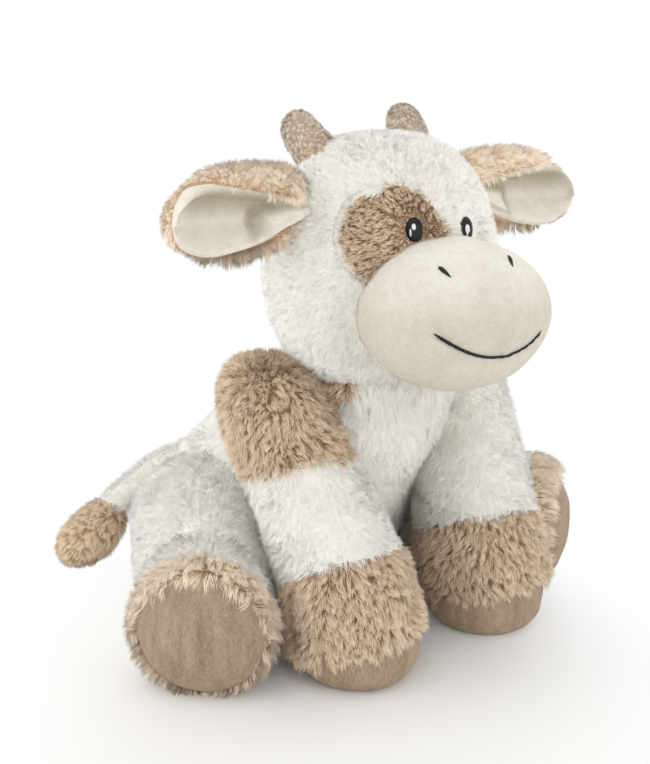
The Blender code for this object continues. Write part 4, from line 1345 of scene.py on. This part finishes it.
material, tree, shader = tree_of("floor")
seen = seen_directly(tree)
# The camera sees the floor darker than the colour it lights things with: painted shade
shade_of = add_node(tree, "ShaderNodeMix", {"A": FLOOR_LIT, "B": FLOOR_SEEN}, data_type="RGBA")
set_inputs(shader, {"Roughness": 0.95, "Specular IOR Level": 0.1})
ground = add_node(tree, "ShaderNodeTexCoord")
centred = add_node(tree, "ShaderNodeVectorMath", {1: FADE_CENTRE}, operation="ADD")
away = add_node(tree, "ShaderNodeVectorMath", operation="LENGTH")
far_off = add_node(tree, "ShaderNodeMapRange", FADE, interpolation_type="SMOOTHSTEP")
both = add_node(tree, "ShaderNodeMath", operation="MULTIPLY")
glow = add_node(tree, "ShaderNodeEmission", {"Color": (1, 1, 1, 1), "Strength": 1.0})
blended = add_node(tree, "ShaderNodeMixShader")
wire(
    tree,
    (seen, "Value", shade_of, "Factor"),
    (shade_of, "Result", shader, "Base Color"),
    (ground, "Object", centred, 0),
    (centred, "Vector", away, 0),
    (away, "Value", far_off, "Value"),
    (far_off, "Result", both, 0),
    (seen, "Value", both, 1),
    (both, "Value", blended, "Fac"),
    (shader, "BSDF", blended, 1),
    (glow, "Emission", blended, 2),
    (blended, "Shader", tree.nodes["Material Output"], "Surface"),
)
floor_mesh.materials.append(material)

world = bpy.data.worlds.new("studio")
bpy.context.scene.world = world
world.use_nodes = True
tree = world.node_tree
sky = tree.nodes["Background"]
set_inputs(sky, {"Color": (1, 1, 1, 1)})
level = add_node(tree, "ShaderNodeMapRange", SKY)
wire(tree, (seen_directly(tree), "Value", level, "Value"), (level, "Result", sky, "Strength"))

for name, place, aim, size, power in (
    ("key", (-0.5, -0.2, 1.8), (0, -0.05, 0.15), 0.9, 3.5),
    ("low", (0.50, -1.5, 0.40), (0, -0.05, 0.15), 0.9, 5),
    ("left_rear", (-1.45, 0.62, 0.6), (0, -0.05, 0.12), 1.2, 9),
    ("right_rear", (1.4, 0.7, 1.0), (0, -0.05, 0.15), 1.2, 3),
):
    data = bpy.data.lights.new(name, "AREA")
    data.size = size
    data.energy = power
    lamp = add_object(name, data)
    lamp.location = place
    lamp.rotation_mode = "QUATERNION"
    lamp.rotation_quaternion = (Vector(aim) - Vector(place)).to_track_quat("-Z", "Y")

camera_data = bpy.data.cameras.new("photo")
camera = add_object("photo", camera_data)
camera.location = CAMERA_PLACE
camera.rotation_mode = "QUATERNION"
camera.rotation_quaternion = (Vector(CAMERA_AIM) - camera.location).to_track_quat("-Z", "Y")
camera_data.lens = CAMERA_LENS
camera_data.sensor_width = CAMERA_SENSOR
camera_data.clip_start = 0.01
bpy.context.scene.camera = camera
bpy.context.scene.view_settings.view_transform = "Standard"
